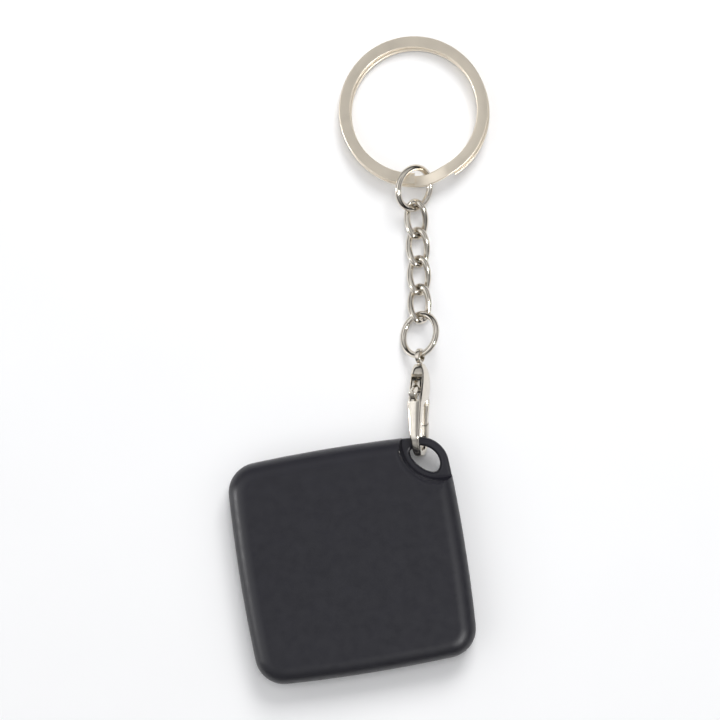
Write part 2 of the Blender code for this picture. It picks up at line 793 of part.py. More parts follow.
def board_pieces():
    """The soldered blocks on the board's front side."""
    low = board_top() + SOLDER_GAP
    room = TAG_THICK - FRONT_WALL - ROOF_GAP - low
    half = TAG_SIDE / 2 - board_inset()
    for name, place, size, material in BOARD_PIECES:
        centre = Vector((place[0] * half, place[1] * half, low + size[2] * room / 2))
        reach = Vector((size[0] * half / 2, size[1] * half / 2, size[2] * room / 2))
        box(name, centre - reach, centre + reach, material)


def push_switch():
    """A low switch under the middle of the front cover, with its plunger."""
    low = board_top() + SOLDER_GAP
    high = low + SWITCH_THICK
    half = SWITCH_SIZE / 2
    body = box("switch_body", (-half, -half, low), (half, half, high), "chip_epoxy")
    seat = low + PLUNGER_SEAT
    cut(body, cylinder("switch_bore", PLUNGER_RADIUS + PLUNGER_GAP, seat, high + CUT_OVERRUN, 20))
    slide = empty("plunger_axis", Matrix.Translation((0, 0, high)))
    cylinder(
        "switch_plunger", PLUNGER_RADIUS, seat + PLUNGER_TRAVEL + SOLDER_GAP - high,
        PLUNGER_RISE, 20, "cover_plastic", slide,
    )


def sounder_fit():
    """(centre x and y, radius) of the round that fills the corner beside the well."""
    well = CELL_RADIUS + CELL_GAP + WELL_WALL + SOUNDER_WELL_GAP
    side = TAG_SIDE / 2 - tongue_inset() - SOUNDER_SIDE_GAP
    radius = (side - well / math.sqrt(2)) / (1 + 1 / math.sqrt(2))
    return (well + radius) / math.sqrt(2), radius


def sounder():
    """A round sounder under the board, in the corner opposite the eyelet."""
    top = board_low() - SOLDER_GAP
    low = well_web_low() + WEB_THICK + 2 * SOLDER_GAP
    reach, radius = sounder_fit()
    place = (-reach, -reach)
    case = cylinder("sounder_case", radius, low, top, 28, "chip_epoxy", centre=place)
    inner = radius - SOUNDER_WALL
    cut(case, cylinder(
        "sounder_bore", inner, low - CUT_OVERRUN, top - SOUNDER_WALL, 28, centre=place,
    ))
    disc_low = low + SOUNDER_WALL
    cylinder(
        "sounder_diaphragm", inner - SOLDER_GAP, disc_low, disc_low + CONTACT_THICK, 28,
        "sounder_brass", centre=place,
    )


def battery_contacts():
    """Bent strips: one bears on the cell's side, one on its cap."""
    top = board_low() - SOLDER_GAP
    side = -(CELL_RADIUS + SOLDER_GAP)
    outer = side - CONTACT_THICK
    foot = outer - WELL_WALL - 2 * CELL_GAP
    low = cell_low() + CELL_THICK / 2
    strip = [
        (side, low), (side, top), (foot, top), (foot, top - CONTACT_THICK),
        (outer, top - CONTACT_THICK), (outer, low),
    ]
    swap_to_x(plate("positive_contact", strip, CONTACT_WIDTH, "contact_spring"))
    leaf_low = cell_top() + SOLDER_GAP
    cap = CELL_RADIUS - CELL_CAP_INSET
    start, bend, end = LEAF_START * cap, LEAF_BEND * cap, LEAF_END * cap
    leaf = [
        (start, top), (bend, top), (end, leaf_low + CONTACT_THICK), (end, leaf_low),
        (bend, top - CONTACT_THICK), (start, top - CONTACT_THICK),
    ]
    swap_to_x(plate("negative_contact", leaf, CONTACT_WIDTH, "contact_spring"))


def swap_to_x(obj):
    """Turns a plate drawn in (y, z) so that its outline runs along X instead."""
    obj.matrix_world = Matrix.Rotation(math.radians(-90), 4, "Z")


# ---------------------------------------------------------------- clasp
def frame_matrix(place, heading, pitch, roll):
    """A frame with +Y along the chain, raised by pitch and rolled about its own Y."""
    return (
        Matrix.Translation(place)
        @ Matrix.Rotation(heading, 4, "Z")
        @ Matrix.Rotation(pitch, 4, "X")
        @ Matrix.Rotation(roll, 4, "Y")
    )


def loop_bend():
    """Where the hook's bend runs into its straight arms, clear of the rim it holds."""
    return LOOP_HALF - RIM_SLACK - HOOK_THICK / 2


def rounded_section(half_width, half_depth, steps=16):
    """(x, depth) pairs round a rectangle with well rounded corners."""
    pairs = []
    for i in range(steps):
        angle = math.tau * (i + 0.5) / steps
        side, rise = math.cos(angle), math.sin(angle)
        pairs.append((
            half_width * math.copysign(abs(side) ** SECTION_POWER, side),
            half_depth * math.copysign(abs(rise) ** SECTION_POWER, rise),
        ))
    return pairs


def hook_arm(parent):
    """The spine, the bend and the tip as one tapered bar."""
    stations = [(y, LOOP_HALF, 0.0, *size) for y, *size in SPINE]
    stations.append((loop_bend(), LOOP_HALF, 0.0, *SPINE_FOOT))
    for i in range(1, 12):
        angle = math.pi * i / 12
        y = loop_bend() - LOOP_HALF * math.sin(angle)
        stations.append((y, LOOP_HALF * math.cos(angle), angle, *BEND))
    tip = (TIP_WIDTH / 2, TIP_THICK / 2)
    stations.append((loop_bend(), -LOOP_HALF, math.pi, *tip))
    stations.append((HOOK_TIP + TIP_THICK / 2, -LOOP_HALF, math.pi, *tip))
    rings = []
    for y, z, angle, half_width, half_thick in stations:
        ring = []
        for x, out in rounded_section(half_width, half_thick):
            ring.append((x, y - out * math.sin(angle), z + out * math.cos(angle)))
        rings.append(ring)
    arm = loft("clasp_body", rings, "plated_metal", parent)
    cut(arm, tip_block("hook_tip_cut", 0.0, LOOP_HALF, Vector((0, HOOK_TIP, -LOOP_HALF)), parent))
    return arm


def tip_block(name, low, high, place, parent):
    """Cuts away what lies on one side of the slanted joint between hook and gate."""
    block = box(name, (-LOOP_HALF, low, -LOOP_HALF / 2), (LOOP_HALF, high, LOOP_HALF / 2))
    block.parent = parent
    block.location = place
    block.rotation_euler = (TIP_SLANT, 0, 0)
    return block


def clasp_head(parent):
    """The rounded head that houses the lever, from the spine to the swivel."""
    rings = []
    for y, half_width, low, high in HEAD:
        middle, half_depth = (high + low) / 2, (high - low) / 2
        rings.append([(x, y, middle + up) for x, up in rounded_section(half_width, half_depth)])
    return loft("clasp_head", rings, None, parent)


def clasp_body(parent):
    """Hook and head in one casting, slotted for the lever and bored for pin and swivel."""
    body = hook_arm(parent)
    join(body, clasp_head(parent))
    far = 2 * LOOP_HALF
    slot = [
        (WINDOW_LOW, far), (WINDOW_HIGH, far), (WINDOW_HIGH, SLOT_FLOOR),
        (FLOOR_START, SLOT_FLOOR), (FLOOR_START, -far), (SLOT_LOW, -far),
        (SLOT_LOW, SLOT_ROOF), (WINDOW_LOW, SLOT_ROOF),
    ]
    cut(body, plate("lever_slot", slot, SLOT_WIDTH, None, parent))
    head_width = 2 * HEAD[4][1]
    cut(body, cylinder(
        "pin_hole", PIN_RADIUS + PIN_GAP, -head_width, HEAD[4][1] - PIN_COVER, 16, None, parent,
        PIVOT, "X",
    ))
    cut(body, cylinder(
        "post_bore", POST_RADIUS + POST_GAP, WINDOW_HIGH - CUT_OVERRUN / 2,
        HEAD[-1][0] + CUT_OVERRUN, 20, None, parent, FLAT, "Y",
    ))
    cut(body, cylinder(
        "post_head_seat", POST_HEAD_RADIUS + POST_GAP, WINDOW_HIGH - CUT_OVERRUN / 2,
        POST_SEAT, 20, None, parent, FLAT, "Y",
    ))


def gate_arm(parent):
    """The gate, a bent bar of changing width, with its pivot as origin."""
    y, z = PIVOT
    rings = []
    for along, up, slope, half_width, half_depth in GATE:
        angle = math.radians(slope)
        rings.append([
            (x, along - y - out * math.sin(angle), up - z + out * math.cos(angle))
            for x, out in rounded_section(half_width, half_depth)
        ])
    return loft("clasp_lever", rings, "plated_metal", parent)


def lever(parent):
    """The sprung lever: a gate on one side of its pivot and a thumb knob on the other."""
    y, z = PIVOT
    hinge = empty("lever_axis", parent.matrix_world @ Matrix.Translation((0, y, z)))
    gate = gate_arm(hinge)
    tip = Vector((0, HOOK_TIP - y, -LOOP_HALF - z))
    cut(gate, tip_block("gate_tip_cut", -2 * LOOP_HALF, TIP_GAP, tip, hinge))
    crest = [FLAT] + arc(FLAT, CREST_RADIUS, CREST_START, CREST_END, 6)
    join(gate, plate("lever_crest", crest, CREST_WIDTH, None, hinge))
    dimple = cylinder(
        "crest_dimple", CREST_DIMPLE, CREST_RADIUS - CREST_DIMPLE_DEPTH, CREST_RADIUS + CUT_OVERRUN,
        12, None, hinge,
    )
    dimple.rotation_euler = (CREST_DIMPLE_AT - math.pi / 2, 0, 0)
    cut(gate, dimple)
    tail_low = TAIL_LOW - z
    tail = [
        (0.0, tail_low), (TAIL_END - y, tail_low), (TAIL_END - y, tail_low + TAIL_TIP_THICK),
        (0.0, TAIL_ROOT_HIGH),
    ]
    join(gate, plate("lever_tail", tail, TAIL_WIDTH, None, hinge))
    join(gate, cylinder(
        "lever_hub", HUB_RADIUS, -HUB_WIDTH / 2, HUB_WIDTH / 2, 24, None, hinge, FLAT, "X",
    ))
    knob = cylinder("lever_knob", KNOB_RADIUS, -KNOB_LONG, 0.0, 18, None, hinge)
    knob.location = (0, KNOB_PLACE - y, KNOB_TOP - z)
    knob.rotation_euler = (KNOB_LEAN, 0, 0)
    join(gate, knob)
    cut(gate, cylinder(
        "lever_bore", PIN_RADIUS + PIN_GAP, -SLOT_WIDTH, SLOT_WIDTH, 16, None, hinge, FLAT, "X",
    ))
    return hinge


def clasp_details(parent):
    """The pivot pin and the coil spring that holds the gate shut."""
    pin_start = PIN_GAP - HEAD[4][1]
    pin_end = HEAD[4][1] - PIN_COVER - PIN_GAP
    cylinder("lever_pin", PIN_RADIUS, pin_start, pin_end, 16, "plated_metal", parent, PIVOT, "X")
    start = SLOT_FLOOR + SPRING_GAP + SPRING_WIRE / 2
    end = TAIL_LOW - SPRING_GAP - SPRING_WIRE / 2
    steps = 10 * SPRING_TURNS
    coil = []
    for i in range(steps + 1):
        angle = math.tau * SPRING_TURNS * i / steps
        coil.append((
            SPRING_RADIUS * math.cos(angle), SPRING_PLACE + SPRING_RADIUS * math.sin(angle),
            start + (end - start) * i / steps,
        ))
    wire("lever_spring", coil, SPRING_WIRE, False, "spring_steel", parent, resolution=1)


def swivel_eye(parent):
    """A flat eye on a post whose riveted head turns inside the clasp."""
    turn = Matrix.Rotation(EYE_ROLL - CLASP_ROLL, 4, "Y")
    spin = empty(
        "swivel_axis", parent.matrix_world @ Matrix.Translation((0, EYE_CENTRE, 0)) @ turn,
    )
    half = EYE_THICK / 2
    eye = cylinder("swivel_eye", EYE_RADIUS, -half, half, 28, "plated_metal", spin, FLAT, "X")
    shoulder = HEAD[-1][0] + POST_SHOULDER_GAP - EYE_CENTRE
    cut(eye, box(
        "eye_trim", (-EYE_THICK, -2 * EYE_RADIUS, -2 * EYE_RADIUS),
        (EYE_THICK, shoulder, 2 * EYE_RADIUS), parent=spin,
    ))
    head_high = POST_SEAT - POST_GAP - EYE_CENTRE
    head_low = head_high - POST_HEAD_THICK
    bottom = -(EYE_RADIUS + EYE_HOLE_RADIUS) / 2
    join(eye, cylinder(
        "swivel_post", POST_RADIUS, head_low + POST_HEAD_THICK / 2, bottom, 16, None, spin,
        FLAT, "Y",
    ))
    join(eye, cylinder(
        "post_head", POST_HEAD_RADIUS, head_low, head_high, 16, None, spin, FLAT, "Y",
    ))
    cut(eye, cylinder(
        "eye_hole", EYE_HOLE_RADIUS, -EYE_THICK, EYE_THICK, 24, None, spin, FLAT, "X",
    ))
    return spin


# ---------------------------------------------------------------- chain
def jump_ring(name, parent, cut_at):
    """A round ring of wire with its cut, drawn about its lower end as origin."""
    radius = (JUMP_OUTER - JUMP_WIRE) / 2
    start, end = cut_at + JUMP_CUT / 2, cut_at + math.tau - JUMP_CUT / 2
    points = [(x, y, 0.0) for x, y in arc((0.0, radius), radius, start, end, JUMP_POINTS)]
    return wire(name, points, JUMP_WIRE, False, "plated_metal", parent)


def ring_rest_height(pitch, roll):
    """The height of a jump ring's lower end when its wire just clears the floor."""
    radius = (JUMP_OUTER - JUMP_WIRE) / 2
    lean = math.acos(math.cos(pitch) * math.cos(roll))
    return radius * (math.sin(lean) - math.sin(pitch)) + JUMP_WIRE / 2 + FLOOR_GAP


def link_path(count):
    """A curb link's centre line, twisted from end to end, with its lower end as origin.

    Its outline is an oval of four arcs: two round ends and two slightly bowed sides.
    """
    half_width = (LINK_WIDTH - LINK_WIRE) / 2
    half_length = (LINK_LENGTH - LINK_WIRE) / 2
    end_centre = half_length - LINK_END_RADIUS
    spare = half_width - LINK_END_RADIUS
    side_centre = (end_centre**2 - spare**2) / (2 * spare)
    side_radius = half_width + side_centre
    meet = math.atan2(end_centre, side_centre)
    shares = ((side_radius, meet), (LINK_END_RADIUS, math.pi / 2 - meet))
    quarter = sum(radius * angle for radius, angle in shares)
    points = []
    for i in range(count):
        way = 4 * quarter * (i + 0.5) / count
        turn, rest = divmod(way, quarter)
        rest = rest if turn % 2 == 0 else quarter - rest
        if rest < side_radius * meet:
            angle = rest / side_radius
            across = side_radius * math.cos(angle) - side_centre
            along = side_radius * math.sin(angle)
        else:
            angle = meet + (rest - side_radius * meet) / LINK_END_RADIUS
            across = LINK_END_RADIUS * math.cos(angle)
            along = end_centre + LINK_END_RADIUS * math.sin(angle)
        across = across if turn in (0, 3) else -across
        along = along if turn in (0, 1) else -along
        twist = LINK_TWIST * along / half_length
        points.append((
            across * math.cos(twist), half_length + along, across * math.sin(twist),
        ))
    return points


def link_drop():
    """How far a link's wire reaches below its own middle."""
    return -min(z for _, _, z in link_path(LINK_POINTS)) + LINK_WIRE / 2


def split_ring(name, parent):
    """Flat wire in two turns: the lower turn crosses up to the upper one."""
    radius = (RING_OUTER - RING_WIRE_WIDTH) / 2
    rise = RING_WIRE_THICK + RING_TURN_GAP
    aside = Vector((math.cos(RING_OFFSET_TOWARDS), math.sin(RING_OFFSET_TOWARDS)))
    first = RING_CROSS_START + RING_CROSS_ANGLE + RING_END_GAP - math.tau
    last = RING_CROSS_START + math.tau - RING_END_GAP
    steps = round((last - first) / RING_STEP)
    sections = []
    for i in range(steps + 1):
        angle = first + (last - first) * i / steps
        share = min(max((angle - RING_CROSS_START) / RING_CROSS_ANGLE, 0.0), 1.0)
        share = share * share * (3 - 2 * share)
        middle = aside * RING_TURN_OFFSET * (1 - share)
        height = rise * share + RING_WIRE_THICK / 2
        sections.append(wire_section(angle, radius, middle, height))
    return loft(name, sections, "ring_steel", parent)


def wire_section(angle, radius, middle, height):
    """The flat wire's section, a rectangle with its corners taken off."""
    wide, tall, edge = RING_WIRE_WIDTH / 2, RING_WIRE_THICK / 2, RING_EDGE
    corners = [
        (wide, -tall + edge), (wide, tall - edge), (wide - edge, tall), (-wide + edge, tall),
        (-wide, tall - edge), (-wide, -tall + edge), (-wide + edge, -tall), (wide - edge, -tall),
    ]
    return [
        (middle.x + (radius + out) * math.cos(angle), middle.y + (radius + out) * math.sin(angle),
         height + up)
        for out, up in corners
    ]


def lead(matrix, distance):
    """A point further along a frame's own Y."""
    return matrix @ Vector((0, distance, 0))


def chain(swivel):
    """Hangs each piece in the one before it, from the swivel eye to the split ring."""
    ring_across = JUMP_OUTER - JUMP_WIRE
    link_across = LINK_LENGTH - LINK_WIRE
    hold = (JUMP_WIRE + LINK_WIRE) / 2 + JUMP_SLACK
    link_height = link_drop() + FLOOR_GAP
    start = lead(swivel.matrix_world, EYE_SLACK)
    end_height = link_height - link_across * math.sin(LINK_PITCH[0])
    pitch = -math.asin((start.z - end_height) / ring_across)
    lower = frame_matrix(start, CHAIN_HEADING, pitch, LOWER_JUMP_ROLL)
    jump_ring("lower_jump_ring", empty("lower_ring_axis", lower), LOWER_JUMP_CUT_AT)
    top = lead(lower, ring_across)
    step = hold
    for i, (link_pitch, drift) in enumerate(zip(LINK_PITCH, LINK_DRIFT)):
        number = len(LINK_PITCH) - i
        heading = CHAIN_HEADING + drift
        place = top + Matrix.Rotation(heading, 4, "Z") @ Vector((0, -step, 0))
        place.z = link_height - min(0.0, link_across * math.sin(link_pitch))
        matrix = frame_matrix(place, heading, link_pitch, 0)
        frame = empty(f"link_axis_{number}", matrix)
        path = link_path(LINK_POINTS)
        wire(f"chain_link_{number}", path, LINK_WIRE, True, "plated_metal", frame)
        top = lead(matrix, link_across)
        step = LINK_WIRE + CHAIN_GAP
    heading = CHAIN_HEADING + UPPER_JUMP_DRIFT
    upper_start = top + Matrix.Rotation(heading, 4, "Z") @ Vector((UPPER_JUMP_SHIFT, -hold, 0))
    upper_start.z = ring_rest_height(UPPER_JUMP_PITCH, UPPER_JUMP_ROLL)
    upper = frame_matrix(upper_start, heading, UPPER_JUMP_PITCH, UPPER_JUMP_ROLL)
    jump_ring("upper_jump_ring", empty("upper_ring_axis", upper), UPPER_JUMP_CUT_AT)
    place_split_ring(upper)


def place_split_ring(jump_frame):
    """Lays the split ring on the floor, with one side propped on the jump ring."""
    direction = frame_matrix((0, 0, 0), CHAIN_HEADING, 0, 0)
    middle = (RING_OUTER - RING_WIRE_WIDTH) / 2
    jump_middle = lead(jump_frame, (JUMP_OUTER - JUMP_WIRE) / 2)
    flat = direction @ Vector((RING_SIDE_SHIFT, RING_LEAD + middle, 0))
    tilt_axis = Vector((-math.sin(RING_TILT_TOWARDS), math.cos(RING_TILT_TOWARDS), 0))
    turn = Matrix.Rotation(-RING_TILT, 4, tilt_axis)
    raise_by = (RING_OUTER / 2) * math.sin(RING_TILT) + FLOOR_GAP
    centre = Vector((jump_middle.x + flat.x, jump_middle.y + flat.y, raise_by))
    frame = Matrix.Translation(centre) @ direction @ turn
    hinge_at = Vector((0, -middle, RING_WIRE_THICK + RING_TURN_GAP / 2))
    axis = empty("split_ring_axis", frame @ Matrix.Translation(hinge_at))
    ring = split_ring("key_ring", axis)
    ring.data.transform(Matrix.Translation(-hinge_at))


def main():
    clear_scene()
    global PARTS, CUTTERS
    PARTS = make_collection("tracker_tag")
    CUTTERS = make_collection("cutters")
    make_materials()
    front_cover()
    rear_cover()
    battery_door()
    coin_cell()
    circuit_board()
    push_switch()
    board_pieces()
    sounder()
    battery_contacts()
    rim = rim_point()
    clasp_frame = empty("clasp_axis", frame_matrix(
        (rim.x, rim.y, RIM_HEIGHT), CHAIN_HEADING, 0, CLASP_ROLL))
    clasp_body(clasp_frame)
    lever(clasp_frame)
    clasp_details(clasp_frame)
    chain(swivel_eye(clasp_frame))


main()
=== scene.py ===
"""Looks of the tracker tag and its key chain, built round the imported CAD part.

The metal pieces and the front cover are made here again with fine round forms, from the
same driving sizes as the CAD part, and stand in for their nodes. Metres, +Z up.
"""

import math

import bmesh
import bpy
from mathutils import Matrix, Vector


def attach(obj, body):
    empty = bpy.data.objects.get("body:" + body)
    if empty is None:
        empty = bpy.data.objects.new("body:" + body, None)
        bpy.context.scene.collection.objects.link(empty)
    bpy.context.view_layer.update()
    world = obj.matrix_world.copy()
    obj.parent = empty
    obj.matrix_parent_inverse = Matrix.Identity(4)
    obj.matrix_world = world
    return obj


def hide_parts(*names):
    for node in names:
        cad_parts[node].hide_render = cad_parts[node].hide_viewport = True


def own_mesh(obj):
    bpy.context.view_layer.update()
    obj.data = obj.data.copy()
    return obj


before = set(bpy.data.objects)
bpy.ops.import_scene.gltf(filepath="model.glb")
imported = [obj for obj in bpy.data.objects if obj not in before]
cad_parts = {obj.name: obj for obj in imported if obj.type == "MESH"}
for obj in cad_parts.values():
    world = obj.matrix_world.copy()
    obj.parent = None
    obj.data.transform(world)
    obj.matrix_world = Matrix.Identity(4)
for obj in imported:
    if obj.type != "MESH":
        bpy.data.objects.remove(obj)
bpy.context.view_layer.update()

# ---------------------------------------------------------------- driving sizes
TAG_SIDE = 0.0375
TAG_THICK = 0.0076
SIDE_BOW_RADIUS = 0.258
CORNER_RADIUS = 0.00485
FRONT_ROUND_IN = 0.0030
FRONT_ROUND_DOWN = 0.0027
REAR_ROUND_IN = 0.0020
REAR_ROUND_UP = 0.0018
PARTING_HEIGHT = 0.0038
PARTING_GAP = 0.0001
SIDE_WALL = 0.0013
FRONT_WALL = 0.0010

LUG_THICK = 0.0030
LUG_ROUND = 0.0006
LUG_STEP_IN = 0.00005
EYELET_INSET = 0.0062
EYELET_CENTRE = TAG_SIDE / math.sqrt(2) - EYELET_INSET
EYELET_HALF_LONG = 0.00280
EYELET_OUTER_HALF = 0.0022
EYELET_INNER_HALF = 0.00124
SCOOP_LEAD = 0.0039
SCOOP_CENTRE = EYELET_CENTRE + SCOOP_LEAD
SCOOP_RADIUS = 0.0060
SCOOP_FLARE = 0.0004
SCOOP_ROUND_IN = 0.0013
SCOOP_ROUND_DOWN = 0.0012
SCOOP_WALL = 0.0012
LUG_ROOT_OVERLAP = 0.0006

CHAIN_HEADING = math.radians(-9.2)
HOOK_BEARING = math.radians(94)
RIM_SLACK = 0.00148

CLASP_ROLL = math.radians(-17)
HOOK_THICK = 0.0011
LOOP_HALF = 0.0029
HOOK_TIP = 0.00275
TIP_THICK = 0.0013
TIP_WIDTH = 0.0013
TIP_SLANT = math.radians(29)
TIP_GAP = 0.00015
TIP_CUT_HALF_WIDE = 0.003
TIP_CUT_LONG = 0.004
TIP_CUT_HALF_DEEP = 0.002
SPINE = [(0.0066, 0.00126, 0.00086), (0.0050, 0.00116, 0.00090), (0.0030, 0.00102, 0.00082)]
SPINE_FOOT = (0.00084, 0.00070)
BEND = (0.00066, 0.00055)
HEAD = [
    (0.0054, 0.00108, 0.0021, 0.00368),
    (0.0061, 0.00126, 0.0010, 0.00362),
    (0.0066, 0.00134, -0.0007, 0.00350),
    (0.0073, 0.00140, -0.0020, 0.00326),
    (0.0084, 0.00143, -0.0026, 0.00284),
    (0.0098, 0.00141, -0.0025, 0.00236),
    (0.0109, 0.00132, -0.0022, 0.00200),
    (0.0115, 0.00122, -0.0019, 0.00178),
    (0.0121, 0.00104, -0.0014, 0.00146),
    (0.0127, 0.00074, -0.0008, 0.00090),
]
HEAD_HALF_WIDE = max(half_width for _, half_width, _, _ in HEAD)
SLOT_WIDTH = 0.0018
WINDOW_LOW = 0.00695
WINDOW_HIGH = 0.01110
SLOT_LOW = 0.0057
SLOT_ROOF = 0.0014
HUB_WIDTH = 0.00136
CREST_WIDTH = 0.0013
TAIL_WIDTH = 0.0012
PIVOT = (0.00875, 0.0002)
HUB_RADIUS = 0.00098
PIN_RADIUS = 0.00045
PIN_GAP = 0.00006
PIN_EDGE = 0.00012
KNOB_PLACE = 0.00775
KNOB_RADIUS = 0.0006
KNOB_TOP = 0.0049
KNOB_LONG = 0.0036
KNOB_LEAN = math.radians(22)
KNOB_EDGE = 0.00022
# Gate sections: y, z, direction of the arm below the chain line, half width, half depth.
GATE = [
    (0.0088, -0.0002, 70.0, 0.00068, 0.00072),
    (0.0082, -0.0013, 55.0, 0.00068, 0.00072),
    (0.0076, -0.0020, 40.0, 0.00068, 0.00070),
    (0.0071, -0.0024, 26.0, 0.00070, 0.00070),
    (0.0067, -0.00260, 15.0, 0.00086, 0.00070),
    (0.0060, -0.00276, 6.0, 0.00084, 0.00070),
    (0.0050, -0.00284, 0.0, 0.00074, 0.00068),
    (0.0040, -0.00284, 0.0, 0.00064, 0.00066),
    (0.0020, -0.00284, 0.0, 0.00056, 0.00066),
]
CREST_RADIUS = 0.0023
CREST_START = math.radians(47)
CREST_END = math.radians(100)
CREST_DIMPLE = 0.00034
CREST_DIMPLE_AT = math.radians(64)
CREST_DIMPLE_DEPTH = 0.0007
CREST_DIMPLE_EDGE = 0.0001
PIN_COVER = 0.0004
TAIL_END = 0.01055
TAIL_LOW = -0.00035
TAIL_TIP_THICK = 0.0005
TAIL_ROOT_HIGH = 0.0008
SLOT_FLOOR = -0.0018
FLOOR_START = 0.0092
SPRING_PLACE = 0.0101
SPRING_RADIUS = 0.0004
SPRING_WIRE = 0.00018
SPRING_TURNS = 3
SPRING_GAP = 0.00005
POST_RADIUS = 0.00046
POST_GAP = 0.0001
POST_HEAD_RADIUS = 0.00076
POST_HEAD_THICK = 0.00035
POST_SEAT = 0.0115
POST_SHOULDER_GAP = 0.0001
EYE_CENTRE = 0.01405
EYE_RADIUS = 0.00125
EYE_HOLE_RADIUS = 0.00094
EYE_THICK = 0.00085
EYE_EDGE = 0.0002
EYE_ROLL = math.radians(-26)

LINK_WIRE = 0.00105
LINK_LENGTH = 0.0069
LINK_WIDTH = 0.00405
LINK_END_RADIUS = 0.00135
LINK_TWIST = math.radians(45)
LINK_PITCH = [math.radians(angle) for angle in (-7.0, 0.0, 0.0, 7.5)]
LINK_DRIFT = [math.radians(angle) for angle in (0.3, 1.6, 3.1, 4.0)]
JUMP_WIRE = 0.00105
JUMP_OUTER = 0.0080
JUMP_CUT = math.radians(3.5)
LOWER_JUMP_ROLL = math.radians(-40)
UPPER_JUMP_ROLL = math.radians(39)
UPPER_JUMP_PITCH = math.radians(17)
UPPER_JUMP_DRIFT = math.radians(2.5)
UPPER_JUMP_SHIFT = -0.00010
LOWER_JUMP_CUT_AT = math.radians(135)
UPPER_JUMP_CUT_AT = math.radians(-33)
CHAIN_GAP = 0.0001
JUMP_SLACK = 0.00010
EYE_SLACK = 0.00019
FLOOR_GAP = 0.00005

RING_OUTER = 0.0247
RING_WIRE_WIDTH = 0.00185
RING_WIRE_THICK = 0.0009
RING_TURN_GAP = 0.0001
RING_EDGE = 0.0002
RING_CROSS_START = math.radians(-87)
RING_CROSS_ANGLE = math.radians(28)
RING_END_GAP = math.radians(2.0)
RING_TURN_OFFSET = 0.00042
RING_OFFSET_TOWARDS = math.radians(-55)
RING_TILT = math.radians(5.0)
RING_TILT_TOWARDS = math.radians(-62)
RING_LEAD = 0.00138
RING_SIDE_SHIFT = -0.00003

FLAT = (0.0, 0.0)
RIM_HEIGHT = TAG_THICK / 2

# Fineness: steps along an edge round or a path.
SIDE_STEPS = 12
CORNER_STEPS = 18
ROUND_STEPS = 10
SCOOP_STEPS = 8
LUG_STEPS = 5
HOLLOW_STEPS = 3
PIN_ROUND_STEPS = 4
CURVE_STEPS = 4
BEND_STEPS = 12
CREST_STEPS = 16
SPRING_STEPS = 24
JUMP_STEPS = 120
LINK_STEPS = 96
RING_STEPS = 420
RING_EDGE_STEPS = 4
# Fineness: points round a form.
EYELET_POINTS = 56
SCOOP_POINTS = 120
LUG_POINTS = 80
SECTION_POINTS = 32
PIN_POINTS = 32
BORE_POINTS = 40
HUB_POINTS = 48
EYE_POINTS = 64
DIMPLE_POINTS = 24
SPRING_POINTS = 12
WIRE_POINTS = 24
LINK_DROP_POINTS = 24
# How far a cutter runs past what it cuts.
CUT_OVERRUN = 0.001
CLEAR_OF_CLASP = 0.003
# Section corners: 1 is an ellipse, and less is fuller.
SECTION_POWER = 0.62
# Step of the search for the rim's two edges.
RIM_STEP = 0.00002
# Rounded wire ends: the round as a share of the radius, then (inwards, outwards) shares of it.
WIRE_END_SHARE = 0.16
WIRE_END_ROUND = ((0.06, 0.45), (0.3, 0.85), (1.0, 1.0))

# Camera: straight down, aimed a little above the tag, with a long lens.
VIEW_CENTRE = (0.00653, 0.03239)
VIEW_UP = (0.160, 0.987)
VIEW_WIDTH = 0.1192
VIEW_HEIGHT = 0.50
FOCUS_PLANE = 0.0025
SENSOR_WIDTH = 36.0
CLIP_START = 0.01
FLOOR_HALF = 1.5

# Light tent: share of full brightness against the sine of the height above the horizon.
TENT_LEVELS = [
    (0.0, 0.05), (0.22, 0.07), (0.42, 0.70), (0.62, 0.85), (0.84, 0.95), (0.94, 0.38), (1.0, 0.33),
]
# How the walls fade across the tent: axis, from and to along it, level at each.
TENT_FADES = [
    ("Y", -0.65, -0.10, 0.30, 1.0), ("Y", 0.15, 0.75, 1.0, 0.6), ("X", -0.5, 0.6, 1.0, 0.55),
]
TENT_STRENGTH = 1.35
TENT_COLOUR = (0.98, 0.985, 1.0, 1.0)
# Lamps: name, place, side length, power in watts, and true for one that is a highlight alone.
LAMP_AIM = (0.01, 0.03, 0.0)
LAMPS = [
    ("key", (0.22, 0.52, 0.60), 0.35, 3.5, False),
    ("overhead", (0.05, 0.14, 0.90), 0.25, 1.6, False),
    ("side", (-0.63, 0.06, 0.18), 0.05, 1.3, True),
    ("corner", (0.36, -0.36, 0.59), 0.07, 2.6, True),
]


# ---------------------------------------------------------------- shape helpers
def piece(name, mesh):
    obj = bpy.data.objects.new(name, mesh)
    bpy.context.scene.collection.objects.link(obj)
    return obj


def mesh_of(name, bm):
    bmesh.ops.recalc_face_normals(bm, faces=bm.faces[:])
    mesh = bpy.data.meshes.new(name)
    bm.to_mesh(mesh)
    bm.free()
    return mesh


def carve(obj, operation, tool):
    """Applies a Boolean at once and takes its tool away."""
    modifier = obj.modifiers.new("carve", "BOOLEAN")
    modifier.operation = operation
    modifier.object = tool
    graph = bpy.context.evaluated_depsgraph_get()
    mesh = bpy.data.meshes.new_from_object(obj.evaluated_get(graph))
    obj.modifiers.remove(modifier)
    obj.data = mesh
    bpy.data.objects.remove(tool)


def loft(name, rings, looped=False):
    """A closed body through rings of equally many points, with flat ends unless looped."""
    bm = bmesh.new()
    rows = [[bm.verts.new(point) for point in ring] for ring in rings]
    count = len(rows[0])
    if looped:
        rows.append(rows[0])
    for low, high in zip(rows, rows[1:]):
        for i in range(count):
            j = (i + 1) % count
            bm.faces.new((low[i], low[j], high[j], high[i]))
    if not looped:
        bm.faces.new(rows[0][::-1])
        bm.faces.new(rows[-1])
    return piece(name, mesh_of(name, bm))


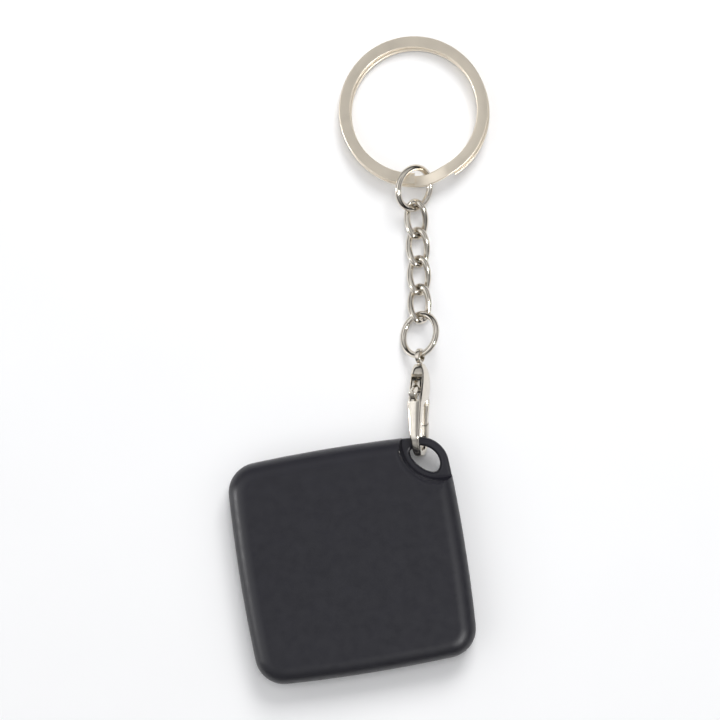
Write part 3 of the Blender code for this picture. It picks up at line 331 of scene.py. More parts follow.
def box(name, low, high):
    bm = bmesh.new()
    bmesh.ops.create_cube(bm, size=1.0)
    low, high = Vector(low), Vector(high)
    bmesh.ops.scale(bm, vec=high - low, verts=bm.verts)
    bmesh.ops.translate(bm, vec=(high + low) / 2, verts=bm.verts)
    return piece(name, mesh_of(name, bm))


def turned(name, profile, steps, centre=FLAT, axis="Z", looped=False):
    """A round body from (radius, height) pairs about a line along an axis."""
    rings = []
    for radius, height in profile:
        ring = []
        for a, b in arc(centre, radius, 0.0, math.tau, steps)[:-1]:
            if axis == "Z":
                ring.append((a, b, height))
            elif axis == "Y":
                ring.append((a, height, b))
            else:
                ring.append((height, a, b))
        rings.append(ring)
    return loft(name, rings, looped)


def cylinder(name, radius, low, high, steps, centre=FLAT, axis="Z"):
    return turned(name, [(radius, low), (radius, high)], steps, centre, axis)


def pin(name, radius, low, high, edge, steps, centre=FLAT, axis="Z"):
    """A round bar whose two ends are rounded over."""
    rounded = rounding(edge, edge, PIN_ROUND_STEPS)
    start = [(radius - inset, low + depth) for inset, depth in rounded]
    end = [(radius - inset, high - depth) for inset, depth in rounded[::-1]]
    return turned(name, start + end, steps, centre, axis)


def plate(name, outline, thick):
    """A flat outline of (y, z) points, thick along X and centred on x = 0."""
    rings = [[(x, y, z) for y, z in outline] for x in (-thick / 2, thick / 2)]
    return loft(name, rings)


def tube(name, points, radius, steps, closed):
    """Round wire swept along points without twisting, with rounded ends where open."""
    count = len(points)
    points = [Vector(point) for point in points]
    tangents = []
    for i in range(count):
        ahead = points[(i + 1) % count] if closed or i + 1 < count else points[i]
        behind = points[i - 1] if closed or i > 0 else points[i]
        tangents.append((ahead - behind).normalized())
    side = tangents[0].orthogonal().normalized()
    rings = []
    for point, tangent in zip(points, tangents):
        side = (side - tangent * side.dot(tangent)).normalized()
        rise = tangent.cross(side)
        rings.append((point, tangent, side, rise))
    rows = []
    if closed:
        point, tangent, first, _ = rings[0]
        last = rings[-1][2]
        last = (last - tangent * last.dot(tangent)).normalized()
        drift = math.atan2(tangent.dot(last.cross(first)), last.dot(first))
    for i, (point, tangent, side, rise) in enumerate(rings):
        turn = drift * i / count if closed else 0.0
        rows.append([
            point + (side * math.cos(a + turn) + rise * math.sin(a + turn)) * radius
            for a in (math.tau * k / steps for k in range(steps))
        ])
    if not closed:
        edge = radius * WIRE_END_SHARE
        for end, outward in ((0, -1), (-1, 1)):
            point, tangent, _, _ = rings[end]
            row = rows[end]
            for shrink, push in WIRE_END_ROUND:
                lifted = [
                    point + (spot - point) * (1 - shrink * edge / radius)
                    + tangent * outward * edge * push for spot in row
                ]
                if outward < 0:
                    rows.insert(0, lifted)
                else:
                    rows.append(lifted)
    return loft(name, rows, closed)


def arc(centre, radius, start, end, steps):
    """Points (a, b) on an arc, both ends included."""
    return [
        (centre[0] + radius * math.cos(angle), centre[1] + radius * math.sin(angle))
        for angle in (start + (end - start) * i / steps for i in range(steps + 1))
    ]


def rounding(depth_in, depth_along, steps=ROUND_STEPS):
    """(inset, distance from the face) pairs down a quarter-ellipse edge round."""
    angles = [math.pi / 2 * i / steps for i in range(steps + 1)]
    return [(depth_in * (1 - math.sin(a)), depth_along * (1 - math.cos(a))) for a in angles]


# ---------------------------------------------------------------- tag
def corner_place():
    """The corner round's centre, and half the angle that each bowed side spans."""
    reach = SIDE_BOW_RADIUS - TAG_SIDE / 2
    span = SIDE_BOW_RADIUS - CORNER_RADIUS
    centre = (-reach + math.sqrt(2 * span**2 - reach**2)) / 2
    return centre, math.atan2(centre, centre + reach)


def tag_outline(inset, height):
    """One ring of the tag's outline, inset from its edge, at a height."""
    corner, half = corner_place()
    bow = SIDE_BOW_RADIUS - inset
    points = []
    for quarter in range(4):
        turn = Matrix.Rotation(quarter * math.pi / 2, 2)
        side_centre = (TAG_SIDE / 2 - SIDE_BOW_RADIUS, 0.0)
        side = arc(side_centre, bow, -half, half, SIDE_STEPS)
        bend = arc((corner, corner), CORNER_RADIUS - inset, half, math.pi / 2 - half, CORNER_STEPS)
        points += [turn @ Vector(point) for point in side[:-1] + bend[:-1]]
    return [(point.x, point.y, height) for point in points]


def eyelet_outline(grow, height):
    """One ring of the eyelet hole, grown outwards by an amount, at a height."""
    along = Vector((1, 1)).normalized()
    across = Vector((1, -1)).normalized()
    points = []
    for i in range(EYELET_POINTS):
        angle = math.tau * i / EYELET_POINTS
        half = EYELET_OUTER_HALF if math.cos(angle) > 0 else EYELET_INNER_HALF
        reach = along * (EYELET_CENTRE + (half + grow) * math.cos(angle))
        points.append(reach + across * (EYELET_HALF_LONG + grow) * math.sin(angle))
    return [(point.x, point.y, height) for point in points]


def inside(point, ring):
    """True while a point is in a convex ring that runs either way round."""
    turns = [
        (b - a).cross(point - a) > 0 for a, b in zip(ring, ring[1:] + ring[:1])
    ]
    return all(turns) or not any(turns)


def scoop(name, grow=0.0):
    """The round scoop that thins the corner to a lug, with a mouth rounded at both faces."""
    lug_low = (TAG_THICK - LUG_THICK) / 2
    mouth = [
        (SCOOP_FLARE + inset, depth)
        for inset, depth in rounding(SCOOP_ROUND_IN, SCOOP_ROUND_DOWN, SCOOP_STEPS)
    ]
    mouth.insert(0, (SCOOP_FLARE + SCOOP_ROUND_IN, -CUT_OVERRUN))
    mouth.append((0.0, lug_low))
    levels = mouth + [(flare, TAG_THICK - depth) for flare, depth in mouth[::-1]]
    centre = SCOOP_CENTRE / math.sqrt(2)
    rings = []
    for flare, height in levels:
        reach = SCOOP_RADIUS + grow + flare
        around = arc((centre, centre), reach, 0.0, math.tau, SCOOP_POINTS)[:-1]
        rings.append([(x, y, height) for x, y in around])
    return loft(name, rings)


def eyelet_hole(name):
    lug_low = (TAG_THICK - LUG_THICK) / 2
    rounded = rounding(LUG_ROUND, LUG_ROUND, LUG_STEPS)
    low = [(grow, lug_low + depth) for grow, depth in rounded]
    high = [(grow, TAG_THICK - lug_low - depth) for grow, depth in rounded[::-1]]
    levels = [(LUG_ROUND, -CUT_OVERRUN)] + low + high + [(LUG_ROUND, TAG_THICK + CUT_OVERRUN)]
    return loft(name, [eyelet_outline(grow, height) for grow, height in levels])


def whole_tag(name):
    """The tag's outer form in one piece: the rounded body, scooped, with its lug."""
    rear = rounding(REAR_ROUND_IN, REAR_ROUND_UP)
    front = [
        (inset, TAG_THICK - depth)
        for inset, depth in rounding(FRONT_ROUND_IN, FRONT_ROUND_DOWN)[::-1]
    ]
    body = loft(name, [tag_outline(*level) for level in rear + front])
    carve(body, "DIFFERENCE", scoop("scoop"))
    lug_low = (TAG_THICK - LUG_THICK) / 2
    rounded = rounding(LUG_ROUND, LUG_ROUND, LUG_STEPS)
    low = [(LUG_STEP_IN + inset, lug_low + depth) for inset, depth in rounded]
    high = [(LUG_STEP_IN + inset, TAG_THICK - lug_low - depth) for inset, depth in rounded[::-1]]
    lug = loft("lug", [tag_outline(*level) for level in low + high])
    centre = SCOOP_CENTRE / math.sqrt(2)
    carve(lug, "INTERSECT", cylinder(
        "lug_root", SCOOP_RADIUS + LUG_ROOT_OVERLAP, -CUT_OVERRUN, TAG_THICK + CUT_OVERRUN,
        LUG_POINTS, (centre, centre),
    ))
    carve(body, "UNION", lug)
    carve(body, "DIFFERENCE", eyelet_hole("eyelet"))
    return body


def front_cover():
    """The front shell, with its thin wall."""
    cover = whole_tag("front_shell")
    low = PARTING_HEIGHT + PARTING_GAP / 2
    reach = TAG_SIDE
    carve(cover, "INTERSECT", box(
        "front_half", (-reach, -reach, low), (reach, reach, TAG_THICK + CUT_OVERRUN)))
    roof = TAG_THICK - FRONT_WALL
    inner = rounding(
        FRONT_ROUND_IN - FRONT_WALL, FRONT_ROUND_DOWN - FRONT_WALL, HOLLOW_STEPS)
    levels = [(SIDE_WALL, low - CUT_OVERRUN)]
    levels += [(SIDE_WALL + inset, roof - depth) for inset, depth in inner[::-1]]
    hollow = loft("hollow", [tag_outline(*level) for level in levels])
    carve(hollow, "DIFFERENCE", scoop("hollow_corner", SCOOP_WALL))
    carve(cover, "DIFFERENCE", hollow)
    return cover


# ---------------------------------------------------------------- clasp
def lever_spring():
    """The coil spring between the slot's floor and the lever's tail."""
    start = SLOT_FLOOR + SPRING_GAP + SPRING_WIRE / 2
    end = TAIL_LOW - SPRING_GAP - SPRING_WIRE / 2
    steps = SPRING_STEPS * SPRING_TURNS
    coil = []
    for i in range(steps + 1):
        angle = math.tau * SPRING_TURNS * i / steps
        coil.append((
            SPRING_RADIUS * math.cos(angle), SPRING_PLACE + SPRING_RADIUS * math.sin(angle),
            start + (end - start) * i / steps,
        ))
    return tube("return_spring", coil, SPRING_WIRE / 2, SPRING_POINTS, False)


def rim_point():
    """The middle of the eyelet's rim where the hook holds it, on the tag's plane."""
    start = Vector((EYELET_CENTRE, EYELET_CENTRE)) / math.sqrt(2)
    bearing = Vector((math.cos(HOOK_BEARING), math.sin(HOOK_BEARING)))
    crossings = []
    for outline in (eyelet_outline, tag_outline):
        ring = [Vector(point[:2]) for point in outline(0.0, 0.0)]
        reach = 0.0
        while inside(start + bearing * reach, ring):
            reach += RIM_STEP
        crossings.append(reach)
    return start + bearing * sum(crossings) / 2


def frame_matrix(place, heading, pitch, roll):
    """A frame with +Y along the chain, raised by pitch and rolled about its own Y."""
    return (
        Matrix.Translation(place)
        @ Matrix.Rotation(heading, 4, "Z")
        @ Matrix.Rotation(pitch, 4, "X")
        @ Matrix.Rotation(roll, 4, "Y")
    )


def rounded_section(half_width, half_depth):
    """(x, depth) pairs round a rectangle with well rounded corners."""
    pairs = []
    for i in range(SECTION_POINTS):
        angle = math.tau * (i + 0.5) / SECTION_POINTS
        side, rise = math.cos(angle), math.sin(angle)
        pairs.append((
            half_width * math.copysign(abs(side) ** SECTION_POWER, side),
            half_depth * math.copysign(abs(rise) ** SECTION_POWER, rise),
        ))
    return pairs


def smooth_table(rows):
    """Rows of numbers with smooth in-between rows, by a Catmull-Rom curve through them."""
    made = []
    for i in range(len(rows) - 1):
        before = rows[max(i - 1, 0)]
        start, end = rows[i], rows[i + 1]
        after = rows[min(i + 2, len(rows) - 1)]
        for k in range(CURVE_STEPS):
            t = k / CURVE_STEPS
            made.append(tuple(
                0.5 * (2 * b + (c - a) * t + (2 * a - 5 * b + 4 * c - d) * t * t
                       + (3 * b - a - 3 * c + d) * t ** 3)
                for a, b, c, d in zip(before, start, end, after)
            ))
    return made + [tuple(rows[-1])]


def tip_cut(low, high):
    """A box that cuts the hook's tip and the gate's end along the same slant."""
    wide, deep = TIP_CUT_HALF_WIDE, TIP_CUT_HALF_DEEP
    cut = box("tip_cut", (-wide, low, -deep), (wide, high, deep))
    cut.data.transform(
        Matrix.Translation((0, HOOK_TIP, -LOOP_HALF)) @ Matrix.Rotation(TIP_SLANT, 4, "X"))
    return cut


def hook_arm():
    """The spine, the bend and the tip as one tapered bar."""
    bend = LOOP_HALF - RIM_SLACK - HOOK_THICK / 2
    stations = [(y, LOOP_HALF, 0.0, *size) for y, *size in SPINE]
    stations.append((bend, LOOP_HALF, 0.0, *SPINE_FOOT))
    for i in range(1, BEND_STEPS):
        angle = math.pi * i / BEND_STEPS
        y = bend - LOOP_HALF * math.sin(angle)
        stations.append((y, LOOP_HALF * math.cos(angle), angle, *BEND))
    tip = (TIP_WIDTH / 2, TIP_THICK / 2)
    stations.append((bend, -LOOP_HALF, math.pi, *tip))
    stations.append((HOOK_TIP + TIP_THICK / 2, -LOOP_HALF, math.pi, *tip))
    rings = []
    for y, z, angle, half_width, half_thick in smooth_table(stations):
        rings.append([
            (x, y - out * math.sin(angle), z + out * math.cos(angle))
            for x, out in rounded_section(half_width, half_thick)
        ])
    arm = loft("clasp_casting", rings)
    carve(arm, "DIFFERENCE", tip_cut(0, TIP_CUT_LONG))
    return arm


def clasp_body():
    """Hook and head in one casting, slotted for the lever and bored for pin and swivel."""
    body = hook_arm()
    rings = []
    for y, half_width, low, high in smooth_table(HEAD):
        middle, half_depth = (high + low) / 2, (high - low) / 2
        rings.append([(x, y, middle + up) for x, up in rounded_section(half_width, half_depth)])
    carve(body, "UNION", loft("clasp_head", rings))
    far = LOOP_HALF + CLEAR_OF_CLASP
    slot = [
        (WINDOW_LOW, far), (WINDOW_HIGH, far), (WINDOW_HIGH, SLOT_FLOOR),
        (FLOOR_START, SLOT_FLOOR), (FLOOR_START, -far), (SLOT_LOW, -far),
        (SLOT_LOW, SLOT_ROOF), (WINDOW_LOW, SLOT_ROOF),
    ]
    carve(body, "DIFFERENCE", plate("lever_slot", slot, SLOT_WIDTH))
    wide = 2 * HEAD_HALF_WIDE
    start = WINDOW_HIGH - CUT_OVERRUN / 2
    carve(body, "DIFFERENCE", cylinder(
        "pin_hole", PIN_RADIUS + PIN_GAP, -wide, HEAD_HALF_WIDE - PIN_COVER, PIN_POINTS,
        PIVOT, "X"))
    carve(body, "DIFFERENCE", cylinder(
        "post_bore", POST_RADIUS + POST_GAP, start, HEAD[-1][0] + CUT_OVERRUN, BORE_POINTS,
        FLAT, "Y"))
    carve(body, "DIFFERENCE", cylinder(
        "post_head_seat", POST_HEAD_RADIUS + POST_GAP, start, POST_SEAT, BORE_POINTS,
        FLAT, "Y"))
    return body


def lever():
    """The sprung lever: a gate on one side of its pivot and a thumb knob on the other."""
    y, z = PIVOT
    rings = []
    for along, up, slope, half_width, half_depth in smooth_table(GATE):
        angle = math.radians(slope)
        rings.append([
            (x, along - out * math.sin(angle), up + out * math.cos(angle))
            for x, out in rounded_section(half_width, half_depth)
        ])
    gate = loft("clasp_gate", rings)
    carve(gate, "DIFFERENCE", tip_cut(-TIP_CUT_LONG, TIP_GAP))
    reach = HUB_WIDTH / 2
    crest = [PIVOT] + arc(PIVOT, CREST_RADIUS, CREST_START, CREST_END, CREST_STEPS)
    carve(gate, "UNION", plate("crest", crest, CREST_WIDTH))
    dimple = pin(
        "dimple", CREST_DIMPLE, CREST_RADIUS - CREST_DIMPLE_DEPTH, CREST_RADIUS + CUT_OVERRUN,
        CREST_DIMPLE_EDGE, DIMPLE_POINTS)
    dimple.data.transform(
        Matrix.Translation((0, *PIVOT))
        @ Matrix.Rotation(CREST_DIMPLE_AT - math.pi / 2, 4, "X"))
    carve(gate, "DIFFERENCE", dimple)
    tail = [
        (y, TAIL_LOW), (TAIL_END, TAIL_LOW), (TAIL_END, TAIL_LOW + TAIL_TIP_THICK),
        (y, z + TAIL_ROOT_HIGH),
    ]
    carve(gate, "UNION", plate("tail", tail, TAIL_WIDTH))
    carve(gate, "UNION", cylinder("hub", HUB_RADIUS, -reach, reach, HUB_POINTS, PIVOT, "X"))
    knob = pin("knob", KNOB_RADIUS, -KNOB_LONG, 0.0, KNOB_EDGE, BORE_POINTS)
    knob.data.transform(
        Matrix.Translation((0, KNOB_PLACE, KNOB_TOP)) @ Matrix.Rotation(KNOB_LEAN, 4, "X"))
    carve(gate, "UNION", knob)
    carve(gate, "DIFFERENCE", cylinder(
        "lever_bore", PIN_RADIUS + PIN_GAP, -HUB_WIDTH, HUB_WIDTH, PIN_POINTS, PIVOT, "X"))
    gate.data.transform(Matrix.Translation((0, -y, -z)))
    return gate


def swivel_eye():
    """A flat eye on a post whose riveted head turns inside the clasp."""
    half = EYE_THICK / 2
    eye = pin("swivel_loop", EYE_RADIUS, -half, half, EYE_EDGE, EYE_POINTS, FLAT, "X")
    shoulder = HEAD[-1][0] + POST_SHOULDER_GAP - EYE_CENTRE
    carve(eye, "DIFFERENCE", box(
        "eye_trim", (-EYE_THICK, -2 * EYE_RADIUS, -2 * EYE_RADIUS),
        (EYE_THICK, shoulder, 2 * EYE_RADIUS)))
    head_high = POST_SEAT - POST_GAP - EYE_CENTRE
    head_low = head_high - POST_HEAD_THICK
    bottom = -(EYE_RADIUS + EYE_HOLE_RADIUS) / 2
    carve(eye, "UNION", cylinder(
        "post", POST_RADIUS, head_low + POST_HEAD_THICK / 2, bottom, PIN_POINTS, FLAT, "Y"))
    carve(eye, "UNION", cylinder(
        "post_head", POST_HEAD_RADIUS, head_low, head_high, PIN_POINTS, FLAT, "Y"))
    carve(eye, "DIFFERENCE", cylinder(
        "eye_hole", EYE_HOLE_RADIUS, -EYE_THICK, EYE_THICK, HUB_POINTS, FLAT, "X"))
    return eye


# ---------------------------------------------------------------- chain
def jump_ring(name, cut_at):
    """A round ring of wire with its cut, drawn about its lower end as origin."""
    radius = (JUMP_OUTER - JUMP_WIRE) / 2
    start, end = cut_at + JUMP_CUT / 2, cut_at + math.tau - JUMP_CUT / 2
    points = [(x, y, 0.0) for x, y in arc((0.0, radius), radius, start, end, JUMP_STEPS)]
    return tube(name, points, JUMP_WIRE / 2, WIRE_POINTS, False)


def ring_rest_height(pitch, roll):
    """How high a jump ring's origin is when its lowest point just clears the floor."""
    radius = (JUMP_OUTER - JUMP_WIRE) / 2
    lean = math.acos(math.cos(pitch) * math.cos(roll))
    return radius * (math.sin(lean) - math.sin(pitch)) + JUMP_WIRE / 2 + FLOOR_GAP


def link_path(count):
    """A curb link's centre line, twisted from end to end, with its lower end as origin.

    Its outline is an oval of four arcs: two round ends and two slightly bowed sides.
    """
    half_width = (LINK_WIDTH - LINK_WIRE) / 2
    half_length = (LINK_LENGTH - LINK_WIRE) / 2
    end_centre = half_length - LINK_END_RADIUS
    spare = half_width - LINK_END_RADIUS
    side_centre = (end_centre**2 - spare**2) / (2 * spare)
    side_radius = half_width + side_centre
    meet = math.atan2(end_centre, side_centre)
    shares = ((side_radius, meet), (LINK_END_RADIUS, math.pi / 2 - meet))
    quarter = sum(radius * angle for radius, angle in shares)
    points = []
    for i in range(count):
        way = 4 * quarter * (i + 0.5) / count
        turn, rest = divmod(way, quarter)
        rest = rest if turn % 2 == 0 else quarter - rest
        if rest < side_radius * meet:
            angle = rest / side_radius
            across = side_radius * math.cos(angle) - side_centre
            along = side_radius * math.sin(angle)
        else:
            angle = meet + (rest - side_radius * meet) / LINK_END_RADIUS
            across = LINK_END_RADIUS * math.cos(angle)
            along = end_centre + LINK_END_RADIUS * math.sin(angle)
        across = across if turn in (0, 3) else -across
        along = along if turn in (0, 1) else -along
        twist = LINK_TWIST * along / half_length
        points.append((
            across * math.cos(twist), half_length + along, across * math.sin(twist),
        ))
    return points


def link_drop():
    """How far a twisted link reaches below its own centre line."""
    return -min(z for _, _, z in link_path(LINK_DROP_POINTS)) + LINK_WIRE / 2


def link(name):
    return tube(name, link_path(LINK_STEPS), LINK_WIRE / 2, WIRE_POINTS, True)


def split_ring(name):
    """Flat wire in two turns: the lower turn crosses up to the upper one."""
    middle = (RING_OUTER - RING_WIRE_WIDTH) / 2
    rise = RING_WIRE_THICK + RING_TURN_GAP
    first = RING_CROSS_START + RING_CROSS_ANGLE + RING_END_GAP - math.tau
    last = RING_CROSS_START + math.tau - RING_END_GAP
    sections = []
    for i in range(RING_STEPS + 1):
        angle = first + (last - first) * i / RING_STEPS
        share = min(max((angle - RING_CROSS_START) / RING_CROSS_ANGLE, 0.0), 1.0)
        share = share * share * (3 - 2 * share)
        offset = RING_TURN_OFFSET * (1 - share)
        centre = (offset * math.cos(RING_OFFSET_TOWARDS), offset * math.sin(RING_OFFSET_TOWARDS))
        height = rise * share + RING_WIRE_THICK / 2
        sections.append(wire_section(angle, middle, centre, height))
    return loft(name, sections)


def wire_section(angle, radius, middle, height):
    """The flat wire's section, a rectangle with rounded corners."""
    wide, tall, edge = RING_WIRE_WIDTH / 2, RING_WIRE_THICK / 2, RING_EDGE
    pairs = []
    for quarter, (side, rise) in enumerate([(1, 1), (-1, 1), (-1, -1), (1, -1)]):
        centre = (side * (wide - edge), rise * (tall - edge))
        start = quarter * math.pi / 2
        pairs += arc(centre, edge, start, start + math.pi / 2, RING_EDGE_STEPS)
    return [
        (middle[0] + (radius + out) * math.cos(angle),
         middle[1] + (radius + out) * math.sin(angle), height + up)
        for out, up in pairs
    ]


def lead(matrix, distance):
    """A point further along a frame's own Y."""
    return matrix @ Vector((0, distance, 0))


def chain_frames(swivel):
    """The frame of each piece from the swivel eye to the split ring, by piece name."""
    frames = {}
    ring_across = JUMP_OUTER - JUMP_WIRE
    link_across = LINK_LENGTH - LINK_WIRE
    hold = (JUMP_WIRE + LINK_WIRE) / 2 + JUMP_SLACK
    link_height = link_drop() + FLOOR_GAP
    start = lead(swivel, EYE_SLACK)
    end_height = link_height - link_across * math.sin(LINK_PITCH[0])
    pitch = -math.asin((start.z - end_height) / ring_across)
    lower = frame_matrix(start, CHAIN_HEADING, pitch, LOWER_JUMP_ROLL)
    frames["lower_ring"] = lower
    top = lead(lower, ring_across)
    step = hold
    for i, (link_pitch, drift) in enumerate(zip(LINK_PITCH, LINK_DRIFT)):
        heading = CHAIN_HEADING + drift
        place = top + Matrix.Rotation(heading, 4, "Z") @ Vector((0, -step, 0))
        place.z = link_height - min(0.0, link_across * math.sin(link_pitch))
        matrix = frame_matrix(place, heading, link_pitch, 0)
        frames[f"link_{len(LINK_PITCH) - i}"] = matrix
        top = lead(matrix, link_across)
        step = LINK_WIRE + CHAIN_GAP
    heading = CHAIN_HEADING + UPPER_JUMP_DRIFT
    upper_start = top + Matrix.Rotation(heading, 4, "Z") @ Vector((UPPER_JUMP_SHIFT, -hold, 0))
    upper_start.z = ring_rest_height(UPPER_JUMP_PITCH, UPPER_JUMP_ROLL)
    upper = frame_matrix(upper_start, heading, UPPER_JUMP_PITCH, UPPER_JUMP_ROLL)
    frames["upper_ring"] = upper
    frames["split_ring"] = split_ring_frame(upper)
    return frames


def split_ring_frame(jump_frame):
    """The split ring lies on the floor, with one side propped on the jump ring."""
    direction = frame_matrix((0, 0, 0), CHAIN_HEADING, 0, 0)
    middle = (RING_OUTER - RING_WIRE_WIDTH) / 2
    jump_middle = lead(jump_frame, (JUMP_OUTER - JUMP_WIRE) / 2)
    flat = direction @ Vector((RING_SIDE_SHIFT, RING_LEAD + middle, 0))
    tilt_axis = Vector((-math.sin(RING_TILT_TOWARDS), math.cos(RING_TILT_TOWARDS), 0))
    turn = Matrix.Rotation(-RING_TILT, 4, tilt_axis)
    raise_by = (RING_OUTER / 2) * math.sin(RING_TILT) + FLOOR_GAP
    centre = Vector((jump_middle.x + flat.x, jump_middle.y + flat.y, raise_by))
    return Matrix.Translation(centre) @ direction @ turn


# ---------------------------------------------------------------- materials
# Mesh attribute that keeps each point's place in the piece's own frame.
OWN_PLACE = "own_place"


class Finish:
    """A node material built step by step round one Principled shader."""

    def __init__(self, name, colour, roughness, metallic=0.0, specular=0.5):
        self.material = bpy.data.materials.new(name)
        self.material.use_nodes = True
        self.tree = self.material.node_tree
        self.shader = self.tree.nodes["Principled BSDF"]
        self.shader.inputs["Metallic"].default_value = metallic
        self.shader.inputs["Specular IOR Level"].default_value = specular
        self.colour, self.roughness = colour, roughness
        self.coordinates = self.node("ShaderNodeTexCoord").outputs["Object"]
        self.normal = None

    def node(self, kind, **settings):
        made = self.tree.nodes.new(kind)
        for key, value in settings.items():
            setattr(made, key, value)
        return made

    def link(self, source, target):
        self.tree.links.new(source, target)

    def noise(self, scale, detail=3.0, roughness=0.5, vector=None):
        made = self.node("ShaderNodeTexNoise")
        made.inputs["Scale"].default_value = scale
        made.inputs["Detail"].default_value = detail
        made.inputs["Roughness"].default_value = roughness
        self.link(vector or self.coordinates, made.inputs["Vector"])
        return made.outputs["Fac"]

    def ramp(self, source, low, high, start=0.3, end=0.7):
        """Spreads a 0 to 1 source between two values."""
        made = self.node("ShaderNodeMapRange")
        made.inputs["From Min"].default_value = start
        made.inputs["From Max"].default_value = end
        made.inputs["To Min"].default_value = low
        made.inputs["To Max"].default_value = high
        self.link(source, made.inputs["Value"])
        return made.outputs["Result"]

    def mottle(self, source, spread):
        """Base colour that varies round its middle with a source."""
        made = self.node("ShaderNodeMix", data_type="RGBA")
        dark = [channel * (1 - spread) for channel in self.colour]
        light = [min(channel * (1 + spread), 1.0) for channel in self.colour]
        made.inputs["A"].default_value = (*dark, 1.0)
        made.inputs["B"].default_value = (*light, 1.0)
        self.link(self.ramp(source, 0.0, 1.0), made.inputs["Factor"])
        self.link(made.outputs["Result"], self.shader.inputs["Base Color"])

    def gloss(self, source, spread):
        low, high = self.roughness - spread, self.roughness + spread
        self.link(self.ramp(source, low, high), self.shader.inputs["Roughness"])

    def bump(self, source, strength, distance):
        made = self.node("ShaderNodeBump")
        made.inputs["Strength"].default_value = strength
        made.inputs["Distance"].default_value = distance
        self.link(source, made.inputs["Height"])
        if self.normal:
            self.link(self.normal, made.inputs["Normal"])
        self.normal = made.outputs["Normal"]
        self.link(self.normal, self.shader.inputs["Normal"])


def moulded(name, colour, roughness, grain=9000.0, depth=0.000012):
    """Moulded plastic with a fine spark-eroded grain."""
    finish = Finish(name, colour, roughness)
    finish.mottle(finish.noise(260.0, 4.0), 0.08)
    finish.gloss(finish.noise(700.0, 3.0), 0.05)
    finish.bump(finish.noise(grain, 2.0, 0.6), 0.5, depth)
    return finish.material


def polished(name, colour, roughness, ripple=420.0, depth=0.00003):
    """Plated metal: bright, with a faint ripple and hair-fine rubbing marks."""
    finish = Finish(name, colour, roughness, metallic=1.0)
    finish.mottle(finish.noise(600.0, 3.0), 0.05)
    finish.gloss(finish.noise(1500.0, 4.0, 0.7), 0.05)
    finish.bump(finish.noise(ripple, 2.0, 0.5), 0.25, depth)
    return finish.material


def brushed_ring(name, colour, roughness):
    """Flat wire with drawing lines that run round the ring's own axis."""
    finish = Finish(name, colour, roughness, metallic=1.0)
    own = finish.node("ShaderNodeAttribute", attribute_name=OWN_PLACE)
    split = finish.node("ShaderNodeSeparateXYZ")
    finish.link(own.outputs["Vector"], split.inputs["Vector"])
    flat = finish.node("ShaderNodeCombineXYZ")
    finish.link(split.outputs["X"], flat.inputs["X"])
    finish.link(split.outputs["Y"], flat.inputs["Y"])
    length = finish.node("ShaderNodeVectorMath", operation="LENGTH")
    finish.link(flat.outputs["Vector"], length.inputs[0])
    lined = finish.node("ShaderNodeCombineXYZ")
    finish.link(length.outputs["Value"], lined.inputs["X"])
    finish.link(split.outputs["Z"], lined.inputs["Z"])
    lines = finish.noise(22000.0, 2.0, 0.6, lined.outputs["Vector"])
    finish.mottle(finish.noise(220.0, 2.0), 0.03)
    finish.gloss(finish.noise(700.0, 3.0), 0.03)
    finish.bump(lines, 0.25, 0.000006)
    return finish.material


def plain_finish(name, colour, roughness, metallic):
    """A finish for pieces inside the tag: a little mottled, with a fine grain."""
    finish = Finish(name, colour, roughness, metallic)
    finish.mottle(finish.noise(900.0, 3.0), 0.10)
    finish.gloss(finish.noise(1500.0, 3.0), 0.06)
    finish.bump(finish.noise(8000.0, 2.0), 0.3, 0.00001)
    return finish.material


def dress(obj, material, body, nodes=(), matrix=None, sharp=35.0):
    """Puts a finished piece in its place, on its body, in place of its CAD nodes."""
    if matrix is not None:
        own = obj.data.attributes.new(OWN_PLACE, "FLOAT_VECTOR", "POINT")
        for spot, vertex in zip(own.data, obj.data.vertices):
            spot.vector = vertex.co
        obj.data.transform(matrix)
    obj.data.materials.clear()
    obj.data.materials.append(material)
    obj.data.shade_smooth()
    obj.data.set_sharp_from_angle(angle=math.radians(sharp))
    weighted = obj.modifiers.new("face_weighted_normals", "WEIGHTED_NORMAL")
    weighted.keep_sharp = True
    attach(obj, body)
    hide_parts(*nodes)


def finish_node(node_name, material):
    """Gives a CAD node that is shown as it is its finish."""
    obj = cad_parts[node_name]
    obj.data.materials.clear()
    obj.data.materials.append(material)


# ---------------------------------------------------------------- the object
COVER = moulded("cover_plastic_look", (0.0115, 0.0112, 0.0165), 0.42)
SPRING_STEEL = plain_finish("spring_steel_look", (0.55, 0.54, 0.52), 0.32, 1.0)
DOOR = moulded("door_plastic_look", (0.013, 0.013, 0.016), 0.52)
PLATED = polished("plated_metal_look", (0.74, 0.69, 0.61), 0.14)
RING = brushed_ring("ring_steel_look", (0.94, 0.85, 0.71), 0.40)

dress(front_cover(), COVER, "tag", ["front_cover"])

rim = rim_point()
clasp_frame = frame_matrix((rim.x, rim.y, RIM_HEIGHT), CHAIN_HEADING, 0, CLASP_ROLL)
dress(clasp_body(), PLATED, "clasp", ["clasp_body"], clasp_frame)
lever_frame = clasp_frame @ Matrix.Translation((0, *PIVOT))
dress(lever(), PLATED, "lever", ["clasp_lever"], lever_frame)
pin_start = PIN_GAP - HEAD_HALF_WIDE
pin_end = HEAD_HALF_WIDE - PIN_COVER - PIN_GAP
rivet = pin("pivot_rivet", PIN_RADIUS, pin_start, pin_end, PIN_EDGE, PIN_POINTS, PIVOT, "X")
dress(rivet, PLATED, "clasp", ["lever_pin"], clasp_frame)
spring = lever_spring()
dress(spring, SPRING_STEEL, "clasp", ["lever_spring"], clasp_frame)
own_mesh(spring)
swivel_frame = (
    clasp_frame @ Matrix.Translation((0, EYE_CENTRE, 0))
    @ Matrix.Rotation(EYE_ROLL - CLASP_ROLL, 4, "Y")
)
